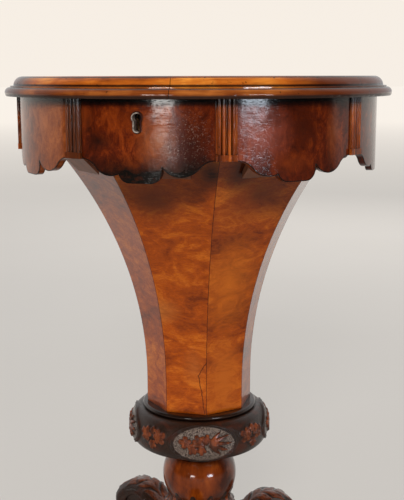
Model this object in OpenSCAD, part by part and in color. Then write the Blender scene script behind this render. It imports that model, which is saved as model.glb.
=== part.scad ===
// Trumpet work table: a round lidded box over an eight-sided tapering well,
// on a carved collar, a turned stem and three carved scroll legs.
// The origin is on the floor below the middle of the table. +Z is up.
// The keyhole faces -Y and the hinges are at +Y.

/* [Overall] */
// Height of the lid's top above the floor
table_h = 740; // [725:1:755]
// Diameter over the lid's lower moulding
top_d = 450; // [440:1:460]

/* [Lid] */
// Height of the upper moulding
upper_mould_h = 12.2; // [11.5:0.1:14]
// Height of the lower moulding
lower_mould_h = 9.7; // [9:0.1:12]
// Width of the mouldings' wood, from the lid's board outwards
mould_w = 30; // [27:1:36]
// Radius of the ovolo on the upper moulding
ovolo_r = 10.5; // [9:0.5:11]
// Distance from the rim to the ovolo's foot
ovolo_set = 10; // [9:0.5:12]
// Distance from the rim to the edge of the flat step under the ovolo
step_set = 6.3; // [5:0.1:8]
// Radius of the thumbnail nose of the lower moulding
nose_r = 6.2; // [5:0.1:6.4]
// Depth of the nose's centre below the lid's top
nose_drop = 18.1; // [17.5:0.1:18.6]
// Gap between the closed lid and the box
lid_gap = 0.3; // [0.2:0.1:0.6]
// Thickness of the padded lining under the lid
lining_t = 2; // [1:0.5:4]

/* [Frieze] */
// Overhang of the lid's rim beyond the frieze
lid_overhang = 16.5; // [15.5:0.5:20]
// Height of the frieze without its aprons
frieze_h = 60.5; // [56:0.5:66]
// Thickness of the shaped panels
panel_t = 7; // [5:0.5:9]
// Thickness of the round ground behind the panels
ring_t = 11.5; // [11:0.5:15]
// Thickness of the bottom board
board_t = 12; // [8:0.5:16]
// Half width of the apron's middle lobe
mid_half = 23; // [20:0.5:24]
// Offset of that lobe to the left of the panel's middle
mid_shift = 5; // [0:0.5:7]
// Drop of the middle lobe below the frieze
mid_drop = 22.5; // [19:0.5:26]
// Corner radius of the middle lobe
mid_corner_r = 12; // [8:0.5:16]
// Distance of the side lobes from the panel's middle
lobe_x = 36.8; // [34:0.2:38]
// Radius of the side lobes
lobe_r = 22; // [20:0.5:24]
// Drop of the side lobes below the frieze
side_drop = 16; // [13:0.5:18]
// Radius of the hollow that runs the side lobes out to the pilasters
ogee_r = 20; // [14:0.5:20]
// Width of a pilaster
pilaster_w = 21.5; // [19:0.5:24]
// How far the reeds stand out from the frieze
pilaster_proud = 3.2; // [2.4:0.1:4]
// Radius of one reed
reed_r = 2.1; // [1.6:0.1:2.3]
// Spacing of the two reeds in a pair
reed_pitch = 4.4; // [4.2:0.1:4.6]
// Offset of each pair from the pilaster's middle
pair_offset = 5; // [4.6:0.1:5.4]
// Height of the plain block at a pilaster's foot
foot_block_h = 6.5; // [4:0.5:12]

/* [Trumpet] */
// Height of the trumpet below the frieze
trumpet_h = 315; // [305:0.5:325]
// Radius of the trumpet's hollow sides
sweep_r = 472; // [460:2:490]
// Distance from the axis to a flat side at the foot
foot_apothem = 60; // [56:1:64]
// Height of the straight foot below the hollow sides
foot_straight_h = 30; // [20:1:40]
// Thickness of the staves
stave_t = 10; // [7:0.5:12]
// Thickness of the block in the trumpet's foot
block_t = 18; // [12:1:30]
// Thickness of the well's floor
well_floor_t = 3; // [2:0.5:5]
// Size of the triangular glue blocks
glue_block = 12; // [8:1:14]

/* [Fitted interior] */
// Radius of the well's round mouth
mouth_r = 84; // [78:1:92]
// Thickness of the wall round the mouth
well_wall_t = 4; // [3:0.5:6]
// Height of the partitions
partition_h = 36; // [28:1:38]
// Thickness of the partitions
partition_t = 4; // [3:0.5:6]

/* [Collar and stem] */
// Radius of the turned ring under the trumpet
base_ring_r = 70.5; // [69.5:0.5:74]
// Thickness of that ring
base_ring_t = 6; // [4:0.5:8]
// Largest radius of the collar before carving
collar_r = 84.5; // [82:0.5:88]
// Height of the collar
collar_h = 62; // [56:1:68]
// Radius of the collar's underside
collar_under_r = 47; // [42:1:52]
// Direction of the first cartouche, from the front towards the right
cartouche_turn = 20; // [15:0.5:25]
// Half the width of a cartouche over its rim
oval_w = 41; // [37:0.5:43]
// Half the height of a cartouche over its rim
oval_h = 23.5; // [20:0.5:24.5]
// Height of the carving above the collar's surface
relief = 2.4; // [1.5:0.1:3]
// Width of the rim round a cartouche
rim_w = 3; // [2:0.5:4]
// Radius of the stem's spigot
spigot_r = 20; // [16:0.5:24]
// Largest radius of the knop
knop_r = 46.4; // [44:0.2:49]
// Radius at the knop's upper and lower ends
pinch_r = 38; // [35:0.5:41]
// Height of the knop
knop_h = 54; // [48:1:58]
// Radius of the carved cup's lip under the knop
cup_r = 45; // [43:0.5:48]
// Height of the cup's flare
cup_h = 14; // [10:1:20]
// Radius of the bead under the cup's lip
bead_r = 4; // [3:0.5:5]
// Number of leaves round the carved cup
cup_leaves = 12; // [10:1:14]
// Radius of the grooves between those leaves
groove_r = 3; // [2:0.5:4]
// Radius of the round leg block
block_r = 42; // [40:0.5:44]

/* [Legs] */
// Turn of the three legs, from the front towards the right
leg_turn = 5; // [0:1:10]
// Distance from the axis to a leg's seat on the block
seat_reach = 35; // [34:0.5:36.5]
// Height of the lower end of the leg's seat
seat_low = 92; // [86:1:98]
// Height of the upper end of the leg's seat
seat_high = 176; // [170:1:184]
// Thickness of a leg at its knee
knee_w = 58; // [52:1:60]
// Thickness of a leg at its seat
seat_w = 42; // [38:1:44]
// Thickness of a leg at its foot
foot_w = 30; // [26:1:34]
// Distance from the axis to the knee scroll's eye
knee_reach = 96; // [93:1:98]
// Height of the knee scroll's eye
knee_z = 171; // [168:1:174]
// Radius of the knee scroll
knee_r = 34; // [31:1:35]
// Half thickness of the knee scroll's band
knee_band = 9; // [8:0.5:10]
// Width of the sunk margin round a leg's carved field
leg_margin = 3.5; // [2:0.5:5]
// Depth of that margin
leg_edge = 2.5; // [1:0.5:4]
// Distance from the axis to the foot scroll's eye
toe_reach = 188; // [180:1:190]
// Radius of the foot scroll
toe_r = 19; // [17:0.5:21]
// Half thickness of the foot scroll's band
toe_band = 6.5; // [5.5:0.5:7]
// Radius of the round pad under each foot
pad_r = 15; // [12:0.5:17]
// Height of the pad under each foot
pad_h = 9; // [6:0.5:12]
// Width of the dovetail at its root
dovetail_w = 13; // [11:0.5:15]
// Depth of the dovetail
dovetail_d = 11; // [8:0.5:13]
// Thickness of the iron plate under the leg block
plate_t = 2; // [1.5:0.5:4]

/* [Hinges and screws] */
// Distance of each hinge from the table's middle
hinge_x = 30; // [28:0.5:32]
// Length of a hinge
hinge_len = 32; // [28:1:34]
// Width of a hinge leaf from the pin
leaf_w = 19; // [17:0.5:21]
// Thickness of a hinge leaf
leaf_t = 1.5; // [1.2:0.1:2]
// Radius of the hinge knuckles
knuckle_r = 3.2; // [2.8:0.1:3.4]
// Radius of the hinge pins
pin_r = 1.2; // [1:0.1:1.5]
// Radius of a screw's shank
screw_r = 1.3; // [1:0.1:1.5]
// Radius of a screw's head
screw_head_r = 2.6; // [2.2:0.1:3]
// Height of a screw's countersunk head
screw_head_h = 1.3; // [1:0.1:1.4]
// Length of a screw
screw_len = 8; // [6:0.5:9]

/* [Lock] */
// Distance of the keyhole to the left of its panel's middle
key_offset = 6.5; // [0:0.5:8]
// Depth of the keyhole's round end below the frieze's top
key_drop = 18; // [17:0.5:22]
// Length of the lock's top plate
lock_plate_len = 64; // [62:1:70]
// Length of the lock case
lock_case_len = 50; // [48:1:52]
// Depth of the lock case from front to back
lock_case_d = 9; // [8.5:0.1:9.5]
// Height of the lock case
lock_case_h = 27; // [25:0.5:30]
// Thickness of the lock's metal
lock_t = 1.2; // [1:0.1:1.5]
// Travel of the bolt
bolt_travel = 6; // [4.5:0.5:7]
// Distance of each link from the lock's middle
link_x = 9; // [8.5:0.5:9.5]
// Length of the links below the lid
link_h = 11; // [10.5:0.5:12]
// Wall thickness of the keyhole's metal liner
liner_t = 1.1; // [0.8:0.1:1.5]
// How far the liner's left edge stands out of the panel
liner_proud = 3.4; // [1:0.2:4]

/* [Fits] */
// Gap round a piece that is let into wood
inlet_gap = 0.2; // [0.1:0.1:0.3]
// Gap round a turned spigot
spigot_gap = 0.3; // [0.2:0.1:0.5]
// Gap between moving metal pieces
running_gap = 0.3; // [0.2:0.1:0.4]
// Radial gap round a hinge pin
pin_gap = 0.05; // [0.03:0.01:0.1]
// Gap between the padded lining and the metal under the lid
lining_gap = 1.5; // [1:0.1:2]
// Gap between curved faces that are glued
glue_gap = 0.1; // [0.05:0.05:0.2]

/* [Hidden] */

// Fineness of true round surfaces
$fn = 96;
// Number of sides of the frieze and the trumpet
sides = 8;
side_angle = 360 / sides;
// Overshoot of a cut beyond the wood
over = 1;
// Extra radius that lets one curve cut into the next instead of only touching it
blend = 0.05;
// Extra height of a pilaster's foot block over its reeds
foot_proud = 0.2;

// Heights, from the top down
lid_t = upper_mould_h + lower_mould_h;
lid_low = table_h - lid_t;
frieze_top = lid_low - lid_gap;
frieze_low = frieze_top - frieze_h;
board_top = frieze_low + board_t;
trumpet_low = frieze_low - trumpet_h;
ring_low = trumpet_low - base_ring_t;
collar_low = ring_low - collar_h;
knop_gap = 3;
knop_top = collar_low - knop_gap;
knop_low = knop_top - knop_h;
cup_low = knop_low - cup_h;
bead_low = cup_low - 2 * bead_r;
// The leg block reaches this far below the legs' seats, and the flats above them
block_below = 6;
flat_above = 4;
block_low = seat_low - block_below;
dovetail_top = seat_high - 8;
dovetail_flare = 2;
// Set-back of the neck between the collar and the knop
neck_set = 2;

// Radii of the lid and the box
rim_r = top_d / 2;
lid_board_r = rim_r - mould_w;
frieze_r = rim_r - lid_overhang;
ring_out_r = frieze_r - panel_t;
ring_in_r = ring_out_r - ring_t;
nose_x = rim_r - nose_r;

// Colours
walnut = "#7c3a16";
dark_walnut = "#4a2411";
burr = "#a85a1e";
pale_wood = "#b98a55";
brass = "#b8923f";
iron = "#4b4744";
lining = "#5b2430";

// Turns a piece from the front of the table to side number k, seen from above
module to_side(k) {
    rotate([0, 0, k * side_angle])
        children();
}

// Upright wedge with its edge on the axis, opening towards -Y
module wedge(low, high, reach) {
    half = reach * tan(side_angle / 2);
    translate([0, 0, low])
        linear_extrude(high - low)
            polygon([[0, 0], [-half, -reach], [half, -reach]]);
}

// Tube between two radii and two heights
module tube(low, high, inner, outer) {
    translate([0, 0, low])
        difference() {
            cylinder(r = outer, h = high - low);
            translate([0, 0, -over])
                cylinder(r = inner, h = high - low + 2 * over);
        }
}

// Box between two corners
module span(a, b) {
    translate(a)
        cube(b - a);
}

// Hinges

pin_y = frieze_r + knuckle_r + running_gap;
pin_z = lid_low - lid_gap / 2;
leaf_edge_y = pin_y - leaf_w;
knuckle_len = (hinge_len - 2 * running_gap) / 3;
knuckle_pitch = knuckle_len + running_gap;
screw_edge = 1.8;
leaf_screw_y = leaf_edge_y + screw_head_r + screw_edge;
leaf_screw_x = hinge_len / 2 - screw_head_r - screw_edge - over;
side_names = [-1, 1];

// Knuckles of one hinge: number 0 belongs to the lid, -1 and 1 to the box
module knuckle(side, n, r, extra = 0) {
    long = knuckle_len + 2 * extra;
    translate([side * hinge_x + n * knuckle_pitch - long / 2, pin_y, pin_z])
        rotate([0, 90, 0])
            cylinder(r = r, h = long);
}

module hinge_leaf(side, low, high, own, other) {
    difference() {
        union() {
            span([side * hinge_x - hinge_len / 2, leaf_edge_y, low],
                 [side * hinge_x + hinge_len / 2, pin_y, high]);
            for (n = own)
                knuckle(side, n, knuckle_r);
        }
        for (n = other)
            knuckle(side, n, knuckle_r + running_gap, running_gap);
        translate([side * hinge_x - hinge_len / 2 - over, pin_y, pin_z])
            rotate([0, 90, 0])
                cylinder(r = pin_r + pin_gap, h = hinge_len + 2 * over);
        for (s = side_names)
            translate([side * hinge_x + s * leaf_screw_x, leaf_screw_y, 0])
                if (low < pin_z)
                    countersink(high, -1);
                else
                    countersink(low, 1);
    }
}

// Hole for a countersunk screw that enters at z and points up (1) or down (-1)
module countersink(z, way) {
    translate([0, 0, z])
        mirror([0, 0, way > 0 ? 0 : 1])
            union() {
                translate([0, 0, -over])
                    cylinder(r = screw_r + pin_gap, h = screw_len + over);
                cylinder(r1 = screw_head_r + pin_gap, r2 = screw_r + pin_gap, h = screw_head_h);
            }
}

// Pilot hole in the wood for the same screw
module pilot(z, way) {
    translate([0, 0, z])
        mirror([0, 0, way > 0 ? 0 : 1])
            cylinder(r = screw_r + pin_gap, h = screw_len + inlet_gap);
}

// Countersunk wood screw with a slot, entering at z
module screw(z, way) {
    tip_h = 2 * screw_r;
    translate([0, 0, z])
        mirror([0, 0, way > 0 ? 0 : 1])
            difference() {
                union() {
                    cylinder(r1 = screw_head_r, r2 = screw_r, h = screw_head_h);
                    cylinder(r = screw_r, h = screw_len - tip_h);
                    translate([0, 0, screw_len - tip_h])
                        cylinder(r1 = screw_r, r2 = screw_r / 4, h = tip_h);
                }
                translate([-screw_head_r, -0.3, -over])
                    cube([2 * screw_head_r, 0.6, over + screw_head_h / 3]);
            }
}

module at_leaf_screws() {
    for (side = side_names)
        for (s = side_names)
            translate([side * hinge_x + s * leaf_screw_x, leaf_screw_y, 0])
                children();
}

module lid_hinge_leaf(side) {
    color(brass)
        hinge_leaf(side, lid_low, lid_low + leaf_t, [0], [-1, 1]);
}

module carcass_hinge_leaf(side) {
    color(brass)
        hinge_leaf(side, frieze_top - leaf_t, frieze_top, [-1, 1], [0]);
}

module lid_hinge_screws() {
    color(brass)
        at_leaf_screws()
            screw(lid_low, 1);
}

module carcass_hinge_screws() {
    color(brass)
        at_leaf_screws()
            screw(frieze_top, -1);
}

module hinge_pins() {
    color(iron)
        for (side = side_names)
            translate([side * hinge_x - hinge_len / 2, pin_y, pin_z])
                rotate([0, 90, 0])
                    cylinder(r = pin_r, h = hinge_len);
}

// Room in the lid for its leaves, its screws and the barrels
module lid_hinge_room() {
    for (side = side_names) {
        span([side * hinge_x - hinge_len / 2 - inlet_gap, leaf_edge_y - inlet_gap, lid_low - over],
             [side * hinge_x + hinge_len / 2 + inlet_gap, pin_y, lid_low + leaf_t]);
        translate([side * hinge_x - hinge_len / 2 - running_gap, pin_y, pin_z])
            rotate([0, 90, 0])
                cylinder(r = knuckle_r + running_gap, h = hinge_len + 2 * running_gap);
    }
    at_leaf_screws()
        pilot(lid_low, 1);
}

// Room in the top of the box for its leaves and screws
module carcass_hinge_room() {
    for (side = side_names)
        span([side * hinge_x - hinge_len / 2 - inlet_gap, leaf_edge_y - inlet_gap, frieze_top - leaf_t],
             [side * hinge_x + hinge_len / 2 + inlet_gap, pin_y, frieze_top + over]);
    at_leaf_screws()
        pilot(frieze_top, -1);
}

// Lock

lock_x = -key_offset;
// The case stands this far out of the ring's inner face
lock_out = 1;
lock_y = lock_out - ring_in_r - lock_case_d / 2;
lock_back = lock_y + lock_case_d / 2;
// Lip of the top plate over the case
plate_lip = 0.6;
plate_half_d = lock_case_d / 2 + plate_lip;
link_w = lock_case_d - 2 * lock_t - 2 * running_gap;
link_t = 2.2;
// Radius of the eye in a link, and the metal below it
eye_r = 1.8;
eye_wall = 1.8;
eye_z = lid_low - link_h + eye_r + eye_wall;
prong = 1.8;
case_low = frieze_top - lock_case_h;
bolt_low = case_low + lock_t + running_gap;
bolt_top = lid_low - link_h - 2 * running_gap;
bolt_t = 2.4;
prong_len = bolt_travel + running_gap;
prong_start = link_t / 2 + running_gap + prong_len;
arm_w = 3;
lock_screw_edge = 0.9;
lock_screw_x = lock_plate_len / 2 - screw_head_r - lock_screw_edge;
links = [-link_x, link_x];

module at_lock() {
    translate([lock_x, lock_y, 0])
        children();
}

// Round-ended top plate of the lock, or of the link plate above it
module lock_plate(low, high, grow) {
    translate([0, 0, low])
        linear_extrude(high - low)
            square([lock_plate_len + 2 * grow, 2 * plate_half_d + 2 * grow], center = true);
}

module lock_case() {
    half = lock_case_len / 2;
    deep = lock_case_d / 2;
    color(brass)
        at_lock()
            difference() {
                union() {
                    span([-half, -deep, case_low], [half, deep, frieze_top - lock_t / 2]);
                    lock_plate(frieze_top - lock_t, frieze_top, 0);
                }
                span([-half + lock_t, -deep + lock_t, case_low + lock_t],
                     [half - lock_t, deep - lock_t, frieze_top - lock_t]);
                for (x = links)
                    span([x - link_t / 2 - running_gap, -link_w / 2 - running_gap, frieze_top - 2 * lock_t],
                         [x + link_t / 2 + running_gap, link_w / 2 + running_gap, frieze_top + over]);
                for (s = side_names)
                    translate([s * lock_screw_x, 0, 0])
                        countersink(frieze_top, -1);
                key_profile_cut(-deep - over, -deep + lock_t + over);
            }
}

// Keyhole outline in the lock's own X and Z: a round end over a narrow slot
key_z = frieze_top - key_drop;
key_r = 3;
key_slot_half = 1.6;
key_slot_h = 11;

module key_outline(grow) {
    circle(r = key_r + grow);
    translate([-key_slot_half - grow, -key_slot_h])
        square([2 * (key_slot_half + grow), key_slot_h]);
    translate([0, -key_slot_h])
        circle(r = key_slot_half + grow);
}

module key_profile_cut(y_from, y_to, grow = 0) {
    translate([0, y_to, key_z])
        rotate([90, 0, 0])
            linear_extrude(y_to - y_from)
                key_outline(grow);
}

module lock_bolt() {
    color(iron)
        at_lock()
            difference() {
                union() {
                    span([-link_x - prong_start - arm_w, -bolt_t / 2, bolt_low],
                         [link_x, bolt_t / 2, bolt_top]);
                    for (x = links) {
                        span([x - prong_start - arm_w, -bolt_t / 2, bolt_top - over],
                             [x - prong_start, bolt_t / 2, eye_z + prong / 2]);
                        span([x - prong_start - over, -prong / 2, eye_z - prong / 2],
                             [x - prong_start + prong_len, prong / 2, eye_z + prong / 2]);
                    }
                }
                // Notch that the key's bit turns in
                translate([0, -bolt_t, bolt_low])
                    cube([key_slot_half * 3, 2 * bolt_t, key_r * 2], center = true);
            }
}

module lock_screws() {
    color(brass)
        at_lock()
            for (s = side_names)
                translate([s * lock_screw_x, 0, 0])
                    screw(frieze_top, -1);
}

module link_plate() {
    color(brass)
        at_lock()
            difference() {
                union() {
                    lock_plate(lid_low, lid_low + lock_t, 0);
                    for (x = links)
                        span([x - link_t / 2, -link_w / 2, lid_low - link_h],
                             [x + link_t / 2, link_w / 2, lid_low + lock_t / 2]);
                }
                for (x = links)
                    translate([x - link_t, 0, eye_z])
                        rotate([0, 90, 0])
                            cylinder(r = eye_r, h = 2 * link_t);
                for (s = side_names)
                    translate([s * lock_screw_x, 0, 0])
                        countersink(lid_low, 1);
            }
}

module link_plate_screws() {
    color(brass)
        at_lock()
            for (s = side_names)
                translate([s * lock_screw_x, 0, 0])
                    screw(lid_low, 1);
}

// Mortise for the lock in the ring, and the keyhole through the wood
module lock_room() {
    half = lock_case_len / 2 + inlet_gap;
    deep = lock_case_d / 2;
    at_lock() {
        span([-half, -deep - inlet_gap, case_low - inlet_gap], [half, deep + ring_t, frieze_top + over]);
        lock_plate(frieze_top - lock_t, frieze_top + over, inlet_gap);
        for (s = side_names)
            translate([s * lock_screw_x, 0, 0])
                pilot(frieze_top, -1);
        key_profile_cut(-deep - ring_t, -deep + over, inlet_gap);
    }
}

// Shallow bed for the link plate under the lid
module link_plate_room() {
    at_lock() {
        lock_plate(lid_low - over, lid_low + lock_t, inlet_gap);
        for (s = side_names)
            translate([s * lock_screw_x, 0, 0])
                pilot(lid_low, 1);
    }
}

// Keyhole liner, a thin keyhole-shaped tube cut off on a slant, so that it
// stands out of the panel at its left edge
liner_y = -sqrt(pow(frieze_r, 2) - pow(key_offset, 2));
// Wood between the keyhole's edge and the liner, and behind the liner
liner_margin = 1.2;
liner_back = 1.5;
liner_grow = liner_t + liner_margin;
liner_depth = panel_t - liner_back;

module escutcheon() {
    reach = key_r + liner_grow;
    color("#c9b48a")
        translate([lock_x, liner_y, key_z])
            difference() {
                translate([0, liner_depth, 0])
                    rotate([90, 0, 0])
                        linear_extrude(liner_depth + liner_proud)
                            difference() {
                                key_outline(liner_grow);
                                key_outline(liner_grow - liner_t);
                            }
                // Slanted cut from the proud left edge to the flush right edge
                translate([-reach, -liner_proud, -key_slot_h - reach - over])
                    rotate([0, 0, atan2(liner_proud, 2 * reach)])
                        translate([-reach, -3 * liner_proud, 0])
                            cube([4 * reach, 3 * liner_proud, key_slot_h + 2 * reach + 2 * over]);
            }
}

module liner_room() {
    translate([lock_x, liner_y, key_z])
        translate([0, liner_depth + 0.01, 0])
            rotate([90, 0, 0])
                linear_extrude(liner_depth + liner_proud + over)
                    key_outline(liner_grow + pin_gap);
}

// Lid

module lid_board() {
    color(walnut)
        difference() {
            translate([0, 0, lid_low])
                cylinder(r = lid_board_r, h = lid_t);
            lid_hinge_room();
            link_plate_room();
        }
}

// Half section of the upper moulding: ovolo over a flat step
module upper_section() {
    step_z = upper_mould_h - ovolo_r;
    ovolo_x = rim_r - ovolo_set - ovolo_r;
    intersection() {
        union() {
            translate([lid_board_r, 0])
                square([ovolo_x - lid_board_r, upper_mould_h]);
            translate([lid_board_r, 0])
                square([rim_r - step_set - lid_board_r, step_z]);
            translate([ovolo_x, step_z])
                circle(r = ovolo_r);
        }
        translate([lid_board_r, 0])
            square([mould_w, upper_mould_h + over]);
    }
}

// Half section of the lower moulding: a thumbnail nose with a flat underside
module lower_section() {
    nose_z = lid_t - nose_drop;
    intersection() {
        union() {
            translate([lid_board_r, 0])
                square([nose_x - lid_board_r, lower_mould_h]);
            translate([nose_x, nose_z])
                circle(r = nose_r);
        }
        translate([lid_board_r, 0])
            square([mould_w + over, lower_mould_h]);
    }
}

module lid_upper_moulding() {
    color(walnut)
        translate([0, 0, lid_low + lower_mould_h])
            rotate_extrude()
                upper_section();
}

module lid_lower_moulding() {
    color(walnut)
        difference() {
            translate([0, 0, lid_low])
                rotate_extrude()
                    lower_section();
            lid_hinge_room();
            link_plate_room();
        }
}

module lid_lining() {
    lining_r = min(ring_in_r - 5 * lining_gap, leaf_edge_y - lining_gap);
    flat = lock_back + lining_gap;
    color(lining)
        difference() {
            translate([0, 0, lid_low - lining_t])
                cylinder(r = lining_r, h = lining_t);
            // Straight edge that clears the lock's link plate
            span([-rim_r, -rim_r, lid_low - lining_t - over], [rim_r, flat, lid_low + over]);
        }
}

// Box

module carcass_ring() {
    color(pale_wood)
        difference() {
            tube(board_top, frieze_top, ring_in_r, ring_out_r);
            carcass_hinge_room();
            lock_room();
        }
}

module bottom_board() {
    color(walnut)
        tube(frieze_low, board_top, mouth_r, ring_out_r);
}

// Outline of one frieze panel with its three-lobed apron.
// X runs along the panel from its middle, and Y is up from the frieze's foot.
module apron_outline() {
    lobe_y = lobe_r - side_drop;
    // The hollow runs into the side lobe, and its top is level with the foot
    ogee_x = lobe_x + sqrt(pow(lobe_r + ogee_r, 2) - pow(lobe_y + ogee_r, 2));
    corner_x = mid_half - mid_corner_r;
    translate([-rim_r, 0])
        square([2 * rim_r, frieze_h]);
    translate([-mid_shift - mid_half, mid_corner_r - mid_drop])
        square([2 * mid_half, mid_drop]);
    translate([-mid_shift - corner_x, -mid_drop])
        square([2 * corner_x, mid_drop]);
    for (s = side_names) {
        translate([s * corner_x - mid_shift, mid_corner_r - mid_drop])
            circle(r = mid_corner_r);
        translate([s * lobe_x, lobe_y])
            circle(r = lobe_r);
        mirror([s < 0 ? 1 : 0, 0])
            difference() {
                polygon([[lobe_x, lobe_y], [ogee_x, -ogee_r], [ogee_x, over], [lobe_x, over]]);
                translate([ogee_x, -ogee_r])
                    circle(r = ogee_r + blend);
            }
    }
}

module frieze_panel(number) {
    low = frieze_low - mid_drop - over;
    color(walnut)
        difference() {
            to_side(number - 1)
                intersection() {
                    tube(low, frieze_top, ring_out_r, frieze_r);
                    wedge(low - over, frieze_top + over, rim_r);
                    translate([0, -ring_out_r / 2, frieze_low])
                        rotate([90, 0, 0])
                            linear_extrude(rim_r)
                                apron_outline();
                }
            if (number == 1)
                liner_room();
            if (number == 1)
                at_lock()
                    key_profile_cut(-lock_case_d - panel_t - ring_t, 0, inlet_gap);
            if (number == 1 + sides / 2)
                carcass_hinge_room();
        }
}

// Plan of a pilaster at the front: two pairs of reeds on a thin ground
module reeded_plan() {
    ground = pilaster_proud - reed_r;
    translate([-pilaster_w / 2, -frieze_r - ground])
        square([pilaster_w, ground + pilaster_proud]);
    for (pair = side_names)
        for (one = side_names)
            translate([pair * pair_offset + one * reed_pitch / 2, -frieze_r - ground])
                circle(r = reed_r);
}

module pilaster(number) {
    color(walnut)
        to_side(number - 0.5)
            difference() {
                union() {
                    translate([0, 0, frieze_low + foot_block_h / 2])
                        linear_extrude(frieze_h - foot_block_h / 2)
                            reeded_plan();
                    // Plain block at the foot, just proud of the reeds
                    span([-pilaster_w / 2, -frieze_r - pilaster_proud - foot_proud, frieze_low],
                         [pilaster_w / 2, -frieze_r + pilaster_proud, frieze_low + foot_block_h]);
                }
                translate([0, 0, frieze_low - over])
                    cylinder(r = frieze_r, h = frieze_h + 2 * over, $fn = 360);
            }
}

// Fitted interior

module well_wall() {
    color(pale_wood)
        tube(board_top, board_top + partition_h, mouth_r, mouth_r + well_wall_t);
}

module compartment_dividers() {
    near = mouth_r + well_wall_t + inlet_gap;
    far = sqrt(pow(ring_in_r, 2) - pow(partition_t / 2, 2)) - inlet_gap;
    color(pale_wood)
        for (k = [0 : sides - 1])
            to_side(k + 0.5)
                span([-partition_t / 2, -far, board_top], [partition_t / 2, -near, board_top + partition_h]);
}

// Trumpet

sweep_x = foot_apothem + sweep_r;
sweep_z = trumpet_low + foot_straight_h;

// Half section of a stave, with X as the distance from the axis
module stave_section() {
    intersection() {
        translate([sweep_x, sweep_z])
            difference() {
                circle(r = sweep_r + stave_t, $fn = 360);
                circle(r = sweep_r, $fn = 360);
            }
        translate([0, sweep_z])
            square([frieze_r, frieze_low - sweep_z]);
    }
    translate([foot_apothem - stave_t, trumpet_low])
        square([stave_t, foot_straight_h]);
}

module trumpet_stave(number) {
    color(burr)
        to_side(number - 1)
            intersection() {
                rotate([90, 0, -90])
                    translate([0, 0, -frieze_r])
                        linear_extrude(2 * frieze_r)
                            stave_section();
                wedge(trumpet_low - over, frieze_low + over, rim_r);
            }
}

// Triangular blocks in the corner between the bottom board and the staves
module glue_blocks() {
    top_a = sweep_x - sqrt(pow(sweep_r, 2) - pow(frieze_low - sweep_z, 2));
    long = 5 * glue_block;
    color(pale_wood)
        for (k = [0 : sides - 1])
            to_side(k)
                rotate([90, 0, -90])
                    translate([0, 0, -long / 2])
                        linear_extrude(long)
                            intersection() {
                                polygon([[top_a - glue_block, frieze_low],
                                         [top_a + glue_block, frieze_low],
                                         [top_a - glue_block, frieze_low - 2 * glue_block]]);
                                translate([sweep_x, sweep_z])
                                    circle(r = sweep_r - glue_gap, $fn = 360);
                            }
}

// Eight-sided prism with its flats in line with the trumpet's
module octagon(low, high, apothem) {
    translate([0, 0, low])
        rotate([0, 0, side_angle / 2])
            cylinder(r = apothem / cos(side_angle / 2), h = high - low, $fn = sides);
}

well_apothem = foot_apothem - stave_t - glue_gap;
block_top = trumpet_low + block_t;

module well_block() {
    color(pale_wood)
        difference() {
            octagon(trumpet_low, block_top, well_apothem);
            translate([0, 0, trumpet_low - over])
                cylinder(r = spigot_r + spigot_gap, h = block_t + 2 * over);
        }
}

module well_floor() {
    color(lining)
        octagon(block_top, block_top + well_floor_t, well_apothem);
}

module trumpet_base_ring() {
    round_r = base_ring_t / 2;
    color(dark_walnut)
        translate([0, 0, ring_low])
            rotate_extrude() {
                translate([spigot_r + spigot_gap, 0])
                    square([base_ring_r - round_r - spigot_r - spigot_gap, base_ring_t]);
                translate([base_ring_r - round_r, round_r])
                    circle(r = round_r);
            }
}

// Carved collar

cartouches = 4;
// Points of the collar's outline, from its top edge to its under edge
collar_points = 18;
// The cartouches' middles lie at this share of the collar's height, from the top
oval_share = 0.4;
oval_z = ring_low - oval_share * collar_h;
// The carving reaches this deep into the turned body
carving_depth = 16;
carving_root = collar_r - carving_depth;
// Exponent of the collar's outline: lower is fuller
fullness = 0.8;

// Half section of the collar, grown outwards by a distance
module collar_section(grow, inner) {
    middle = (base_ring_r + collar_under_r) / 2;
    outline = [for (i = [0 : collar_points])
        let (a = 180 * i / collar_points,
             plain = base_ring_r + (collar_under_r - base_ring_r) * (1 - cos(a)) / 2)
        [plain + (collar_r - middle) * pow(sin(a), fullness) + grow,
         ring_low - collar_h * (1 - cos(a)) / 2 + grow * cos(a)]];
    polygon(concat([[inner, ring_low + grow]], outline, [[inner, collar_low - grow]]));
}

// Cuts an outline that stands round the collar, at an angle from the first
// cartouche, down to the height of the carving
module carved(turn) {
    intersection() {
        rotate_extrude()
            intersection() {
                collar_section(relief, 0);
                translate([carving_root, collar_low + over])
                    square([collar_r, collar_h - 1.5 * over]);
            }
        rotate([0, 0, cartouche_turn + turn])
            translate([0, 0, oval_z])
                rotate([90, 0, 0])
                    linear_extrude(collar_r + 2 * relief)
                        children();
    }
}

module oval(inset) {
    scale([(oval_w - inset) / (oval_h - inset), 1])
        circle(r = oval_h - inset);
}

// Outline of a palmette: lobes as [direction, length] with notches between them
function palmette(lobes, half_step, notch) =
    [for (lobe = lobes) for (p = [[-half_step, notch], [-half_step * 0.55, lobe[1] * 0.8], [0, lobe[1]],
                                  [half_step * 0.55, lobe[1] * 0.8]])
        [p[1] * cos(lobe[0] + p[0]), p[1] * sin(lobe[0] + p[0])]];

// Half palmette inside a cartouche, and a full one between two cartouches
half_lobes = [[-72, 15], [-36, 21], [0, 27], [36, 21], [72, 15]];
full_lobes = [for (k = [0 : 9]) [36 * k, k % 5 == 0 ? 15 : 22]];

// Radius of the boss between the half palmettes
boss_r = 3.4;

module cartouche_leaves() {
    circle(r = boss_r);
    for (s = side_names)
        scale([s, 1])
            translate([6, 0])
                polygon(concat([[0, 3]], [[0, -3]], palmette(half_lobes, 18, 10)));
}

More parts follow.
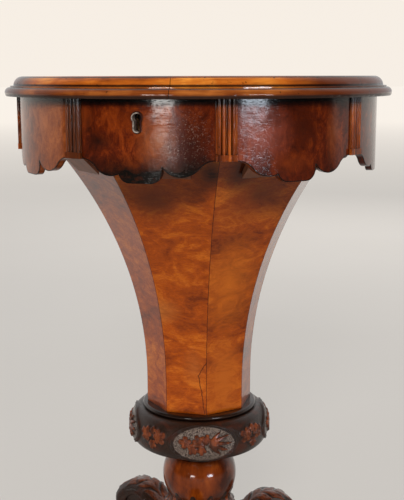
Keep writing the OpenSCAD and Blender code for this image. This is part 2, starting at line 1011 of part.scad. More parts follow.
module carved_collar() {
    color(dark_walnut)
        union() {
            rotate_extrude()
                collar_section(0, spigot_r + spigot_gap);
            for (k = [0 : cartouches - 1]) {
                carved(k * 360 / cartouches)
                    difference() {
                        oval(0);
                        oval(rim_w);
                    }
                carved(k * 360 / cartouches)
                    cartouche_leaves();
                carved((k + 0.5) * 360 / cartouches)
                    polygon(palmette(full_lobes, 18, 11));
            }
        }
}

// Turned stem

leg_turns = [leg_turn, leg_turn + 120, leg_turn + 240];

// Half section of the stem, with its round members as true arcs
module stem_section() {
    bulge = knop_r - pinch_r;
    knop_arc = (pow(knop_h / 2, 2) + pow(bulge, 2)) / (2 * bulge);
    knop_mid = (knop_top + knop_low) / 2;
    translate([0, knop_top])
        square([spigot_r, block_top - knop_top]);
    translate([0, knop_top])
        square([pinch_r - neck_set, knop_gap - glue_gap]);
    intersection() {
        translate([knop_r - knop_arc, knop_mid])
            circle(r = knop_arc, $fn = 180);
        translate([0, knop_low])
            square([knop_r + over, knop_h]);
    }
    // Cup that flares out below the knop
    difference() {
        translate([0, cup_low])
            square([cup_r, cup_h]);
        translate([pinch_r + cup_h, knop_low])
            circle(r = cup_h);
    }
    translate([cup_r - bead_r, cup_low - bead_r])
        circle(r = bead_r);
    translate([0, bead_low])
        square([cup_r - bead_r, 2 * bead_r + over]);
    translate([0, block_low])
        square([block_r, bead_low - block_low]);
}

// Grooves that part the cup and its bead into leaves
module cup_grooves() {
    for (k = [0 : cup_leaves - 1])
        rotate([0, 0, cartouche_turn + k * 360 / cup_leaves])
            translate([0, -cup_r - groove_r / 3, bead_low - over])
                cylinder(r = groove_r, h = knop_low - bead_low, $fn = 24);
}

// Tapering dovetail tongue on the inner face of a leg at the front
module dovetail(grow, high) {
    past = grow > 0 ? over : 0;
    root = dovetail_w / 2 + grow;
    translate([0, -seat_reach, block_low - past])
        linear_extrude(high - block_low + past)
            polygon([[-root, -past], [root, -past],
                     [root + dovetail_flare, dovetail_d + grow],
                     [-root - dovetail_flare, dovetail_d + grow]]);
}

module turned_stem() {
    color(walnut)
        difference() {
            rotate_extrude()
                stem_section();
            for (turn = leg_turns)
                rotate([0, 0, turn]) {
                    span([-block_r, -2 * block_r, block_low - over],
                         [block_r, -seat_reach, seat_high + flat_above]);
                    dovetail(inlet_gap, dovetail_top + inlet_gap);
                }
            cup_grooves();
            at_plate_screws()
                pilot(block_low, 1);
        }
}

// Legs

// Point on a smooth curve through the list, at s from 0 to the last index
function smooth(p, s) =
    let (n = len(p) - 1, i = min(floor(s), n - 1), f = s - i,
         a = p[max(i - 1, 0)], b = p[i], c = p[i + 1], d = p[min(i + 2, n)])
    0.5 * (2 * b + (c - a) * f + (2 * a - 5 * b + 4 * c - d) * f * f + (3 * b - 3 * c + d - a) * f * f * f);

function smooth_line(p, steps) =
    [for (i = [0 : steps]) smooth(p, i * (len(p) - 1) / steps)];

// Outline of a band of changing depth along a line of [distance, height, half depth]
function band_outline(line, inset) =
    let (n = len(line) - 1,
         turn = [for (i = [0 : n])
             let (a = line[max(i - 1, 0)], b = line[min(i + 1, n)])
             atan2(b[1] - a[1], b[0] - a[0])],
         edge = function(i, s) [line[i][0] - s * (line[i][2] - inset) * sin(turn[i]),
                                line[i][1] + s * (line[i][2] - inset) * cos(turn[i])])
    concat([for (i = [0 : n]) edge(i, 1)], [for (i = [n : -1 : 0]) edge(i, -1)]);

// Line of a scroll that winds in towards its eye and gets thinner
function scroll_line(x, z, r, band, from, turn, steps) =
    [for (i = [0 : steps])
        let (f = i / steps, a = from + turn * f, wind = (r - band) * (1 - 0.5 * f))
        [x + wind * cos(a), z + wind * sin(a), band * (1 - 0.42 * f)]];

seat_mid = (seat_low + seat_high) / 2;
seat_half = (seat_high - seat_low) / 2;
// The pad reaches this far up into the toe
pad_sunk = 2;
toe_z = pad_h + toe_r - pad_sunk;
// Radius of the eyes of the two scrolls
knee_eye_r = 8;
toe_eye_r = 6;

// The leg's body, from its seat over the knee and down to the toe
leg_line = [
    [seat_reach - 0.35 * knee_r, seat_mid - 0.1 * seat_half, 0.9 * seat_half],
    [seat_reach + 0.24 * knee_r, seat_mid - 0.05 * seat_half, 0.88 * seat_half],
    [knee_reach - knee_r, knee_z - 1.06 * knee_r, 0.85 * knee_r],
    [knee_reach - 0.12 * knee_r, knee_z - 0.97 * knee_r, 0.68 * knee_r],
    [knee_reach + 0.65 * knee_r, knee_z - 1.53 * knee_r, 0.56 * knee_r],
    [toe_reach - 2.63 * toe_r, toe_z + 3.47 * toe_r, 0.79 * toe_r],
    [toe_reach - 1.9 * toe_r, toe_z + 1.58 * toe_r, 0.66 * toe_r],
    [toe_reach - 1.05 * toe_r, toe_z + 0.05 * toe_r, 0.58 * toe_r],
    [toe_reach, toe_z - 0.53 * toe_r, 0.47 * toe_r]
];

// The knee's scroll starts beside the seat and winds down round its eye
knee_line = concat(
    [[seat_reach - 0.06 * knee_r, seat_high - 0.65 * knee_r, 0.38 * knee_r],
     [seat_reach + 0.41 * knee_r, seat_high - 0.24 * knee_r, 0.35 * knee_r],
     [knee_reach - 1.06 * knee_r, knee_z + 0.24 * knee_r, 0.29 * knee_r]],
    scroll_line(knee_reach, knee_z, knee_r, knee_band, 120, -285, 20));

// The foot's scroll winds up from the floor
toe_line = scroll_line(toe_reach, toe_z, toe_r, toe_band, -100, 270, 16);

// Side view of a leg, with X as the distance from the axis
module leg_side(inset) {
    difference() {
        union() {
            polygon(band_outline(smooth_line(leg_line, 24), inset));
            polygon(band_outline(knee_line, inset));
            polygon(band_outline(toe_line, inset));
            translate([knee_reach, knee_z])
                circle(r = knee_eye_r - inset / 2, $fn = 48);
            translate([toe_reach, toe_z])
                circle(r = toe_eye_r - inset / 2, $fn = 48);
        }
        // Flat seat against the leg block
        translate([seat_reach - 40, 0])
            square([40, table_h / 2]);
    }
}

// Half width of a leg by height: slim at the ankle, rounded over the knee
leg_heights = [
    [0.5 * foot_w, 0], [0.5 * foot_w, toe_z], [0.4 * foot_w, toe_z + 1.58 * toe_r],
    [0.5 * seat_w, knee_z - 2.06 * knee_r], [0.5 * knee_w, knee_z - 0.88 * knee_r],
    [0.48 * knee_w, knee_z], [0.4 * knee_w, knee_z + 0.5 * knee_r],
    [0.26 * knee_w, knee_z + 0.84 * knee_r], [0.09 * knee_w, knee_z + knee_r + over]
];

// Half width of a leg by distance from the axis: fullest at the knee
leg_reaches = [
    [0.5 * seat_w, seat_reach - over], [0.5 * seat_w, seat_reach + 0.41 * knee_r],
    [0.5 * knee_w, knee_reach - 0.35 * knee_r], [0.5 * knee_w, knee_reach + 0.35 * knee_r],
    [0.4 * knee_w, knee_reach + knee_r], [0.5 * foot_w, toe_reach - 1.58 * toe_r],
    [0.5 * foot_w, toe_reach + toe_r + over]
];

// Outline of half widths along a line, mirrored about the line
module widths_outline(widths, sunk) {
    half = smooth_line(widths, 24);
    polygon(concat([for (p = half) [p[0] - sunk, p[1]]],
                   [for (i = [len(half) - 1 : -1 : 0]) [sunk - half[i][0], half[i][1]]]));
}

// A slab with the leg's side view, cut to its front view and its plan
module leg_slab(inset, sunk) {
    intersection() {
        rotate([90, 0, -90])
            translate([0, 0, -knee_w])
                linear_extrude(2 * knee_w)
                    leg_side(inset);
        rotate([90, 0, 0])
            linear_extrude(top_d)
                widths_outline(leg_heights, sunk);
        mirror([0, 1, 0])
            linear_extrude(table_h)
                widths_outline(leg_reaches, sunk);
    }
}

module leg(turn) {
    color(dark_walnut)
        rotate([0, 0, turn])
            union() {
                leg_slab(0, leg_edge);
                leg_slab(leg_margin, 0);
                translate([0, -toe_reach, 0])
                    cylinder(r = pad_r, h = pad_h + pad_sunk);
                dovetail(0, dovetail_top);
            }
}

// Iron plate that ties the three legs to the stem

module at_plate_screws() {
    for (turn = leg_turns)
        rotate([0, 0, turn + 60])
            translate([0, -seat_reach / 2, 0])
                children();
}

module leg_plate() {
    color(iron)
        difference() {
            translate([0, 0, block_low - plate_t])
                cylinder(r = seat_reach - over, h = plate_t);
            at_plate_screws()
                countersink(block_low - plate_t, 1);
        }
}

module leg_plate_screws() {
    color(iron)
        at_plate_screws()
            screw(block_low - plate_t, 1);
}

lid_board();
lid_upper_moulding();
lid_lower_moulding();
lid_lining();
link_plate();
link_plate_screws();
lid_hinge_leaf(-1);  // lid_hinge_leaf_left
lid_hinge_leaf(1);  // lid_hinge_leaf_right
lid_hinge_screws();
carcass_hinge_leaf(-1);  // carcass_hinge_leaf_left
carcass_hinge_leaf(1);  // carcass_hinge_leaf_right
carcass_hinge_screws();
hinge_pins();
carcass_ring();
bottom_board();
glue_blocks();
for (k = [1 : sides])
    frieze_panel(k);
for (k = [1 : sides])
    pilaster(k);
well_wall();
compartment_dividers();
lock_case();
lock_bolt();
lock_screws();
escutcheon();
for (k = [1 : sides])
    trumpet_stave(k);
well_block();
well_floor();
trumpet_base_ring();
carved_collar();
turned_stem();
leg(leg_turns[0]);  // leg_front
leg(leg_turns[1]);  // leg_right
leg(leg_turns[2]);  // leg_left
leg_plate();
leg_plate_screws();
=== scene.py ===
"""Looks of the trumpet work table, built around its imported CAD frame.

Lengths are in metres, and sizes written in millimetres are multiplied by MM where they become
geometry. Angles are in degrees from the keyhole's side, and grow towards +X.
"""

import math

import bmesh
import bpy
import numpy as np
from mathutils import Matrix, Vector


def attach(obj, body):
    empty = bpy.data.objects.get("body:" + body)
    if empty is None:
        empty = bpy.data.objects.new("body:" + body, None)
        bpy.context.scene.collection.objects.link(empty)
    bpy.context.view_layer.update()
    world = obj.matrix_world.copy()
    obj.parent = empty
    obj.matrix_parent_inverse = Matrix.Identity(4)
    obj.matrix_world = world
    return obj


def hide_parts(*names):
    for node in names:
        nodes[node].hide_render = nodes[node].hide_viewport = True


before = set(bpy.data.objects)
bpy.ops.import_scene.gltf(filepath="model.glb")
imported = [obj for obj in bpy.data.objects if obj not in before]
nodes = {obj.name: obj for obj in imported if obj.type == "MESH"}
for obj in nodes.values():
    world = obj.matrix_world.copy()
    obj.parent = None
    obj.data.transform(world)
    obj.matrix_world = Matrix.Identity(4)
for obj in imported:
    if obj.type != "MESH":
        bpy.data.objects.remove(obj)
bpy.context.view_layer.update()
MM = 0.001

# Levels and sizes of the CAD model, in millimetres
LID_LOW = 718.1
LINING_R, LINING_LOW = 182.5, 716.1
WELL_APOTHEM, WELL_FLOOR_LOW, WELL_FLOOR_TOP = 49.9, 360.3, 363.3
RING_LOW, COLLAR_H, COLLAR_R = 336.3, 62.0, 85.0
BASE_RING_R = 70.5
KNOP_LOW, PINCH_R, CUP_R, CUP_H, CUP_DROP = 217.3, 38.0, 45.0, 14.0, 12.1
BEAD_TOP, BEAD_R = 203.3, 4.0
KNEE_REACH, KNEE_Z, KNEE_R = 96.0, 171.0, 34.0
SIDES, BACK_SIDES = range(1, 9), range(3, 8)
LEG_TURNS = {"leg_front": 5.0, "leg_right": 125.0, "leg_left": 245.0}

# The collar's carving is fullest at its middle and turns under above its low end
COLLAR_MIDDLE, COLLAR_TURN_Z, COLLAR_TURN_R = 304.5, 286.5, 56.0
COLLAR_INNER_R, COLLAR_CORE_R = 37.0, 22.0
UPPER_FULLNESS, LOWER_FULLNESS = 0.76, 0.82
OVAL_W, OVAL_H, OVAL_Z, BOSS_H = 41.5, 22.5, 313.5, 1.1
CARTOUCHE_TURN = 18.8
CARTOUCHE_HALF, SPRAY_HALF = math.radians(46), math.radians(30)
# The cartouche's ground ends at a share of its oval
OVAL_INSIDE = 0.86
# A vine leaf is (place, direction, size, height), and one of the fan (direction, share of length)
CARTOUCHE_LEAVES = (((-21, 2), 170, 10.5, 3.4), ((-13, -6), 230, 8.0, 3.0),
                    ((-7, 4), 110, 9.0, 3.4), ((-3, -6), 270, 8.0, 3.2), ((2, 5), 70, 8.5, 3.4))
SPRAY_LEAVES = (((-10, 3), 150, 13.0, 3.4), ((9, 3), 30, 13.0, 3.4),
                ((0, -6), 265, 8.5, 3.0), ((0, 9), 90, 7.0, 2.8))
FAN_LEAVES = ((-2, 1.0), (20, 0.95), (-22, 0.95), (42, 0.7), (-44, 0.7))
FAN_PLACE, FAN_LENGTH, FAN_WIDTH, FAN_H = (5, 1), 28, 2.2, 3.4

# The leaves round the cup reach up over the knop, whose ball has this radius and middle
KNOP_R, KNOP_Z, KNOP_SHIFT = 47.6, 244.3, 1.2
CUP_LEAF_TIP, CUP_LEAF_LENGTH, CUP_LEAF_HALF, CUP_LEAF_COUNT = 229.0, 33.0, 12.6, 12
CUP_LEAF_SUNK = 0.4

# The knees are fuller outwards than the CAD's. The carver's hand left one high and one low.
KNEE_FULLER, SEAT_FALL = 7.5, 6.0
KNEE_LIFT = {"leg_front": 0.0, "leg_right": -2.5, "leg_left": 2.5}
# Each change grows over a stretch of reach and one of height
FULLER_REACH, FULLER_Z = (92, 124), (100, 150)
SEAT_START, SEAT_END, SEAT_Z = (44, 54), (66, 82), (150, 190)
LIFT_REACH, LIFT_Z = (55, 85), (90, 190)
# The acanthus starts at the seat's turn round the eye and keeps to the scroll's outer side
SEAT_TURN, SCROLL_DEPTH, KNEE_LEAF_LOW = 165.0, 9.0, 100.0
KNEE_LEAF_START, KNEE_LEAF_STEP, KNEE_LEAF_END = 4.0, 17.0, 128.0
SOLE_DEPTH, WEB_SHIFT = 1.2, 1.5
# Half of the web's outline: distance from the eye's middle, and distance from the leg's middle
WEB_PROFILE = np.array([(0.0, 27.5), (3.0, 27.2), (6.0, 25.5), (7.5, 22.5), (9.0, 20.8),
                        (14.0, 20.2), (20.0, 21.0), (25.5, 22.4), (26.0, 20.0)])

# The camera's place and turns, solved from the photograph
CAMERA_TURN = math.radians(15)
CAMERA_REACH, CAMERA_HEIGHT = 1.1245, 0.7392
CAMERA_PITCH, CAMERA_YAW, CAMERA_ROLL = 0.1832, 0.0034, -0.0021
CAMERA_LENS, CAMERA_SENSOR = 67.35, 36.0


def rgb(red, green, blue):
    """Linear colour of a red, green and blue from 0 to 255."""
    parts = [v / 255 for v in (red, green, blue)]
    return tuple(v / 12.92 if v < 0.04045 else ((v + 0.055) / 1.055) ** 2.4 for v in parts) + (1.0,)


# Painted shade in crevices, quirks and under the lid, and the dark of small knocks
SHADE_AND_DIRT = rgb(22, 9, 4)
BLACK = rgb(12, 6, 3)
# Pale colour of flecks painted as glints
PAINTED_GLINT = rgb(206, 176, 158)
WALL = (0.93, 0.86, 0.78, 1)
FLOOR_GLOW = (0.33, 0.318, 0.3, 1)
FLOOR_TONES = ((0.28, 0.265, 0.25, 1), (0.31, 0.295, 0.28, 1))
SPOT_GAIN = 1.6


def add_object(name, data):
    """A new object in the scene."""
    item = bpy.data.objects.new(name, data)
    bpy.context.scene.collection.objects.link(item)
    return item


# -------- node graph helpers


class Graph:
    """A material's node tree with short ways to add and link nodes."""

    def __init__(self, name):
        self.material = bpy.data.materials.new(name)
        self.material.use_nodes = True
        self.tree = self.material.node_tree
        self.tree.nodes.clear()
        self.out = self.tree.nodes.new("ShaderNodeOutputMaterial")
        self.object_place = self.add("ShaderNodeTexCoord").outputs["Object"]
        self.x, self.y, self.z = self.add("ShaderNodeSeparateXYZ", {0: self.object_place}).outputs

    def add(self, kind, inputs=None, **settings):
        """A node, with its inputs linked to sockets or set to values."""
        node = self.tree.nodes.new(kind)
        for key, value in settings.items():
            setattr(node, key, value)
        for key, value in (inputs or {}).items():
            if isinstance(value, bpy.types.NodeSocket):
                self.tree.links.new(value, node.inputs[key])
            else:
                node.inputs[key].default_value = value
        return node

    def finish(self, shader):
        self.tree.links.new(shader.outputs[0], self.out.inputs[0])
        return self.material

    # Numbers

    def math(self, operation, *values, clamp=False):
        node = self.add("ShaderNodeMath", dict(enumerate(values)), operation=operation)
        node.use_clamp = clamp
        return node.outputs[0]

    def times(self, a, b, clamp=False):
        return self.math("MULTIPLY", a, b, clamp=clamp)

    def inverse(self, value, clamp=False):
        return self.math("SUBTRACT", 1.0, value, clamp=clamp)

    def total(self, *pairs):
        """Sum of values times weights."""
        result = None
        for value, weight in pairs:
            part = self.times(value, weight)
            result = part if result is None else self.math("ADD", result, part)
        return result

    def length(self, a, b):
        """Length of the vector (a, b)."""
        return self.math("SQRT", self.total((self.times(a, a), 1.0), (self.times(b, b), 1.0)))

    def step(self, value, low, high):
        """0 below low, 1 above high, and a straight rise between them."""
        return self.math("DIVIDE", self.math("SUBTRACT", value, low), high - low, clamp=True)

    def ramp(self, value, stops):
        """Colours or grey levels at places from 0 to 1, with straight changes between them."""
        node = self.add("ShaderNodeValToRGB", {0: value})
        while len(node.color_ramp.elements) < len(stops):
            node.color_ramp.elements.new(0.5)
        for element, (place, colour) in zip(node.color_ramp.elements, stops):
            element.position = place
            element.color = colour if isinstance(colour, tuple) else (colour, colour, colour, 1)
        return node.outputs[0]

    def noise(self, place, scale, detail=4.0, rough=0.55, distortion=0.0):
        inputs = {"Vector": place, "Scale": scale, "Detail": detail, "Roughness": rough,
                  "Distortion": distortion}
        return self.add("ShaderNodeTexNoise", inputs).outputs["Fac"]

    # Colours

    def mix(self, share, a, b):
        node = self.add("ShaderNodeMix", {0: share, 6: a, 7: b}, data_type="RGBA")
        return node.outputs[2]

    def tint(self, colour, share, strength, tone):
        """A colour turned towards a tone by a share times a strength."""
        return self.mix(self.times(share, strength), colour, tone)

    def stains_and_painted_light(self, colour, place, spots, breakup, gain, base):
        """A colour with soft spots that a noise breaks up. A spot is (along, height, half width,
        half height, strength, tone) in millimetres."""
        # The spots paint stains and tone, and in some calls painted shade, shadow and sheen
        for along, high, half_w, half_h, strength, tone in spots:
            here = self.spot(place, (along, high), (half_w, half_h))
            share = self.times(here, strength * SPOT_GAIN)
            broken = self.math("MULTIPLY_ADD", breakup, gain, base)
            colour = self.mix(self.times(share, broken, clamp=True), colour, tone)
        return colour

    # Places

    def vector(self, x, y, z):
        return self.add("ShaderNodeCombineXYZ", {0: x, 1: y, 2: z}).outputs[0]

    def angle(self):
        """Angle round the axis from the front, in radians."""
        return self.math("ARCTAN2", self.x, self.times(self.y, -1.0))

    def unrolled(self, radius):
        """The point unrolled round the axis: arc length from the front, height, distance from
        the axis."""
        return self.times(self.angle(), radius), self.z, self.length(self.x, self.y)

    def facing(self, degrees):
        """The point seen square to a flat side at that angle: distance along the side, height,
        depth."""
        c, s = math.cos(math.radians(degrees)), math.sin(math.radians(degrees))
        return self.total((self.x, c), (self.y, s)), self.z, self.total((self.x, s), (self.y, -c))

    def scaled(self, place, scale, shift=0.0):
        u, v, w = place
        return self.vector(self.math("MULTIPLY_ADD", u, scale[0], shift),
                           self.math("MULTIPLY_ADD", v, scale[1], shift * 0.7),
                           self.times(w, scale[2]))

    # Marks

    def spot(self, place, middle, size):
        """1 at a middle point, falling to 0 at an ellipse of that size, in millimetres."""
        offset = [self.math("DIVIDE", self.math("SUBTRACT", place[k], middle[k] * MM), size[k] * MM)
                  for k in range(2)]
        return self.inverse(self.length(*offset), clamp=True)

    def area(self, place, area, gain):
        """1 over most of an area, which is (along, height, half width, half height, ...)."""
        return self.times(self.spot(place, area[:2], area[2:4]), gain, clamp=True)

    def crack(self, place, points, width):
        """1 on a wandering line through points in millimetres, 0 beyond a width in millimetres."""
        stray = 2.0 * MM
        wander = self.noise(self.vector(place[0], place[1], 0.0), 160.0, 3.0)
        u = self.math("MULTIPLY_ADD", wander, 2 * stray, self.math("SUBTRACT", place[0], stray))
        here = self.vector(u, place[1], 0.0)
        nearest = None
        for a, b in zip(points, points[1:]):
            start = (a[0] * MM, a[1] * MM, 0.0)
            run = ((b[0] - a[0]) * MM, (b[1] - a[1]) * MM, 0.0)
            away = self.add("ShaderNodeVectorMath", {0: here, 1: start}, operation="SUBTRACT")
            dot = self.add("ShaderNodeVectorMath", {0: away.outputs[0], 1: run},
                           operation="DOT_PRODUCT")
            share = self.math("DIVIDE", dot.outputs["Value"], run[0] ** 2 + run[1] ** 2, clamp=True)
            along = self.add("ShaderNodeVectorMath", {0: run, "Scale": share}, operation="SCALE")
            far = self.add("ShaderNodeVectorMath", {0: away.outputs[0], 1: along.outputs[0]},
                           operation="DISTANCE").outputs["Value"]
            nearest = far if nearest is None else self.math("MINIMUM", nearest, far)
        return self.inverse(self.math("DIVIDE", nearest, width * MM), clamp=True)

    def crevice(self, distance, low=0.35, high=0.85):
        """1 deep in a crevice, 0 on open faces."""
        open_share = self.add("ShaderNodeAmbientOcclusion", {"Distance": distance}, samples=6)
        return self.ramp(open_share.outputs["AO"], [(low, 1.0), (high, 0.0)])

    def edge(self, radius, sharp=0.9):
        """1 along sharp edges, 0 further away than a radius."""
        wide = self.add("ShaderNodeBevel", {"Radius": radius}, samples=8).outputs[0]
        normal = self.add("ShaderNodeNewGeometry").outputs["Normal"]
        near = self.add("ShaderNodeVectorMath", {0: wide, 1: normal}, operation="DOT_PRODUCT")
        return self.ramp(near.outputs["Value"], [(sharp, 1.0), (0.998, 0.0)])

    # Surfaces

    def bump(self, height, strength, distance, soft_edge=0.0):
        """Normal of a relief, over edges that are rounded to a radius where one is given."""
        inputs = {"Strength": strength, "Distance": distance, "Height": height}
        if soft_edge:
            soft = self.add("ShaderNodeBevel", {"Radius": soft_edge}, samples=4)
            inputs["Normal"] = soft.outputs[0]
        return self.add("ShaderNodeBump", inputs).outputs[0]

    def surface(self, colour, roughness, normal, levels):
        """Ends the material in a Principled shader. The levels are its other inputs."""
        inputs = {"Base Color": colour, "Roughness": roughness, "Normal": normal, **levels}
        return self.finish(self.add("ShaderNodeBsdfPrincipled", inputs))

    def polish(self, colour, roughness, height, bump, distance=0.0006, coat=0.8,
               coat_roughness=0.06, specular=0.04, soft_edge=0.0007):
        """French polish: a colour under a clear coat, with softly rounded edges."""
        normal = self.bump(height, bump, distance, soft_edge)
        return self.surface(colour, roughness, normal, {
            "Coat Normal": normal, "Specular IOR Level": specular, "Coat Weight": coat,
            "Coat Roughness": coat_roughness, "Coat IOR": 1.5})


# -------- wood


def damaged(g, place, height, rough_area, scratch_area):
    """A relief with an area of small pits and one of fine scratches. Areas end in a strength."""
    if rough_area:
        pits = g.noise(g.scaled(place, (0.7, 1.0, 1.0)), 620.0, 3.0, 0.65, 1.0)
        pits = g.times(pits, g.area(place, rough_area, 2.2))
        height = g.math("ADD", height, g.times(pits, rough_area[4]))
    if scratch_area:
        lines = g.noise(g.scaled(place, (0.07, 1.0, 1.0)), 900.0, 2.0, 0.5, 0.8)
        lines = g.ramp(lines, [(0.6, 0.0), (0.72, 1.0)])
        lines = g.times(lines, g.area(place, scratch_area, 2.0))
        height = g.math("ADD", height, g.times(lines, scratch_area[4]))
    return height


def veneer(name, tones, place_of, figure=30.0, stretch=(1.0, 0.6, 1.0), spots=(), seed=0.0,
           rim=0.0, crack=None, rough_area=None, scratch_area=None, top_shade=None,
           low_shade=None, flecks=None, coat=0.8, coat_roughness=0.06):
    """Mottled burr veneer.

    Tones are deep, middle and light, and spots are as in Graph.stain. The rim darkens a band
    along the edges. Painted shade from the lid lies above the top shade's height, and a ragged
    black band between the two heights of the low shade. The flecks are pale dots painted as
    glints over an area, which ends in its strength. The crack is
    (points, width) in millimetres."""
    g = Graph(name)
    deep, middle, light = tones
    place = place_of(g)
    flat = g.vector(*place)
    grain = g.scaled(place, stretch, seed)
    cloud = g.noise(grain, figure * 0.6, 3.0, 0.55, 0.6)
    burr = g.noise(grain, figure * 2.2, 6.0, 0.62, 1.6)
    curl = g.noise(grain, figure * 6.5, 4.0, 0.6, 2.6)
    fine = g.noise(g.scaled(place, (0.35, 1.0, 1.0), seed), 700.0, 3.0, 0.6)
    value = g.total((cloud, 0.45), (burr, 0.37), (curl, 0.18))
    colour = g.ramp(value, [(0.38, deep), (0.5, middle), (0.62, light)])
    pores = g.ramp(fine, [(0.56, 0.0), (0.7, 1.0)])
    colour = g.tint(colour, pores, 0.32, deep)
    colour = g.stains_and_painted_light(colour, place, spots, burr, 1.6, 0.1)
    height = g.total((burr, 0.35), (pores, -0.3), (g.noise(flat, 26.0, 2.0, 0.5), 2.6),
                     (g.noise(flat, 120.0, 2.0, 0.5), 0.45))
    if low_shade:
        band = g.inverse(g.step(g.z, low_shade[0] * MM, low_shade[1] * MM))
        cloudy = g.noise(g.scaled(place, (0.6, 1.0, 1.0)), 60.0, 4.0, 0.6)
        ragged = g.math("MULTIPLY_ADD", cloudy, 1.4, 0.35)
        colour = g.mix(g.times(band, ragged, clamp=True), colour, BLACK)
    # Flecks: pale dots painted as glints
    if flecks:
        dots = g.noise(g.scaled(place, (0.8, 1.0, 1.0)), 760.0, 3.0, 0.65)
        dots = g.ramp(dots, [(0.58, 0.0), (0.7, 1.0)])
        colour = g.tint(colour, g.times(dots, g.area(place, flecks, 1.6)), flecks[4], PAINTED_GLINT)
    height = damaged(g, place, height, rough_area, scratch_area)
    if crack:
        line = g.crack(place, *crack)
        colour = g.tint(colour, line, 0.92, BLACK)
        height = g.math("SUBTRACT", height, g.times(line, 1.5))
    if rim:
        colour = g.tint(colour, g.edge(rim * MM, 0.96), 0.92, BLACK)
    # Painted shade from the lid, along the top of the panel
    if top_shade:
        band = g.step(g.z, (top_shade - 3.0) * MM, (top_shade + 1.5) * MM)
        colour = g.tint(colour, band, 0.96, BLACK)
    # Painted shade darkens the crevices
    colour = g.tint(colour, g.crevice(0.012), 0.75, SHADE_AND_DIRT)
    roughness = g.math("MULTIPLY_ADD", cloud, 0.16, 0.3)
    return g.polish(colour, roughness, height, 0.2, coat=coat, coat_roughness=coat_roughness)


def straight_wood(name, tones, place_of, grain=(0.08, 1.0, 1.0), figure=60.0, crevice_shade=0.8, worn=0.0,
                  joint_turn=None, lines=(), spots=(), coat=0.8, coat_roughness=0.06):
    """Straight-grained polished wood: painted shade in quirks, worn edges and a few small knocks.

    Lines are dark bands between two heights in millimetres, most of them painted shade in the
    quirks and under the lid, and spots are as in Graph.stain.
    The joint's turn is where the first of six joints crosses a ring, in degrees."""
    g = Graph(name)
    deep, middle, light = tones
    place = place_of(g)
    flat = g.vector(*place)
    run = g.scaled(place, grain)
    streak = g.noise(run, figure, 5.0, 0.62, 0.5)
    cloud = g.noise(flat, 18.0, 3.0, 0.6, 0.6)
    fine = g.noise(run, figure * 8.0, 2.0, 0.5)
    value = g.total((streak, 0.55), (cloud, 0.45))
    colour = g.ramp(value, [(0.36, deep), (0.5, middle), (0.63, light)])
    pores = g.ramp(fine, [(0.57, 0.0), (0.7, 1.0)])
    colour = g.tint(colour, pores, 0.35, deep)
    if worn:
        colour = g.tint(colour, g.edge(0.0016, 0.8), worn, light)
    colour = g.stains_and_painted_light(colour, place, spots, streak, 1.4, 0.3)
    knocks = g.ramp(g.noise(flat, 170.0, 3.0, 0.6), [(0.67, 0.0), (0.72, 1.0)])
    colour = g.tint(colour, knocks, 0.7, SHADE_AND_DIRT)
    height = g.total((streak, 0.35), (pores, -0.3), (g.noise(flat, 75.0, 2.0, 0.5), 1.3),
                     (knocks, -0.8))
    if joint_turn is not None:
        past_joint = g.math("SUBTRACT", g.angle(), math.radians(joint_turn))
        wave = g.math("SINE", g.times(past_joint, 3.0))
        joint = g.inverse(g.step(g.math("ABSOLUTE", wave), 0.002, 0.0085))
        colour = g.tint(colour, joint, 0.85, BLACK)
        height = g.math("SUBTRACT", height, g.times(joint, 1.2))
    # Dark bands between two heights, mostly painted shade in the quirks and under the lid
    for low, high in lines:
        line_z, half = (low + high) / 2 * MM, (high - low) / 2 * MM
        away = g.math("ABSOLUTE", g.math("SUBTRACT", g.z, line_z))
        colour = g.tint(colour, g.inverse(g.step(away, half * 0.5, half * 1.3)), 0.88, SHADE_AND_DIRT)
    # Painted shade darkens the quirks and crevices
    colour = g.tint(colour, g.crevice(0.007), crevice_shade, SHADE_AND_DIRT)
    rough = g.math("MULTIPLY_ADD", cloud, 0.14, 0.3)
    return g.polish(colour, rough, height, 0.25, coat=coat, coat_roughness=coat_roughness)


def carved_wood(name, ground, leaf_tones, rub, coat, coat_roughness):
    """Waxed carving: dark stippled ground, and redder raised leaves with rubbed tops.

    Its attribute is 1 on the leaves and -1 on the greyer ground inside the cartouches."""
    g = Graph(name)
    carved = g.add("ShaderNodeAttribute", attribute_name="raised").outputs["Fac"]
    raised = g.ramp(carved, [(0.2, 0.0), (0.45, 1.0)])
    grey_ground_and_sheen = g.step(g.times(carved, -1.0), 0.3, 0.7)
    patch = g.noise(g.object_place, 55.0, 4.0, 0.6, 0.8)
    dots = g.ramp(g.noise(g.object_place, 800.0, 2.0, 0.5), [(0.42, 0.0), (0.6, 1.0)])
    streak = g.noise(g.scaled((g.x, g.y, g.z), (1.0, 1.0, 0.2)), 260.0, 3.0, 0.6)
    base = g.tint(ground, dots, 0.5, rgb(22, 13, 9))
    base = g.mix(g.ramp(patch, [(0.5, 0.0), (0.7, 0.6)]), base, rub)
    # The ground inside the cartouches is greyer and paler: its own stippled tone, and partly
    # painted sheen
    base = g.mix(grey_ground_and_sheen, base, g.mix(dots, rgb(132, 116, 106), rgb(46, 33, 27)))
    top = g.mix(g.ramp(streak, [(0.35, 0.0), (0.7, 1.0)]), *leaf_tones)
    top = g.mix(g.ramp(patch, [(0.38, 0.7), (0.55, 0.0)]), top, base)
    colour = g.mix(raised, base, top)
    # Painted shade darkens the carving's hollows
    colour = g.tint(colour, g.crevice(0.004, 0.3, 0.8), 0.9, rgb(12, 6, 4))
    height = g.total((g.times(dots, g.inverse(raised)), 1.1), (streak, 0.4),
                     (g.noise(g.object_place, 150.0, 3.0, 0.6), 1.2))
    rough = g.math("MULTIPLY_ADD", patch, 0.2, 0.32)
    return g.polish(colour, rough, height, 0.3, coat=coat, coat_roughness=coat_roughness,
                    specular=0.08, soft_edge=0.0005)


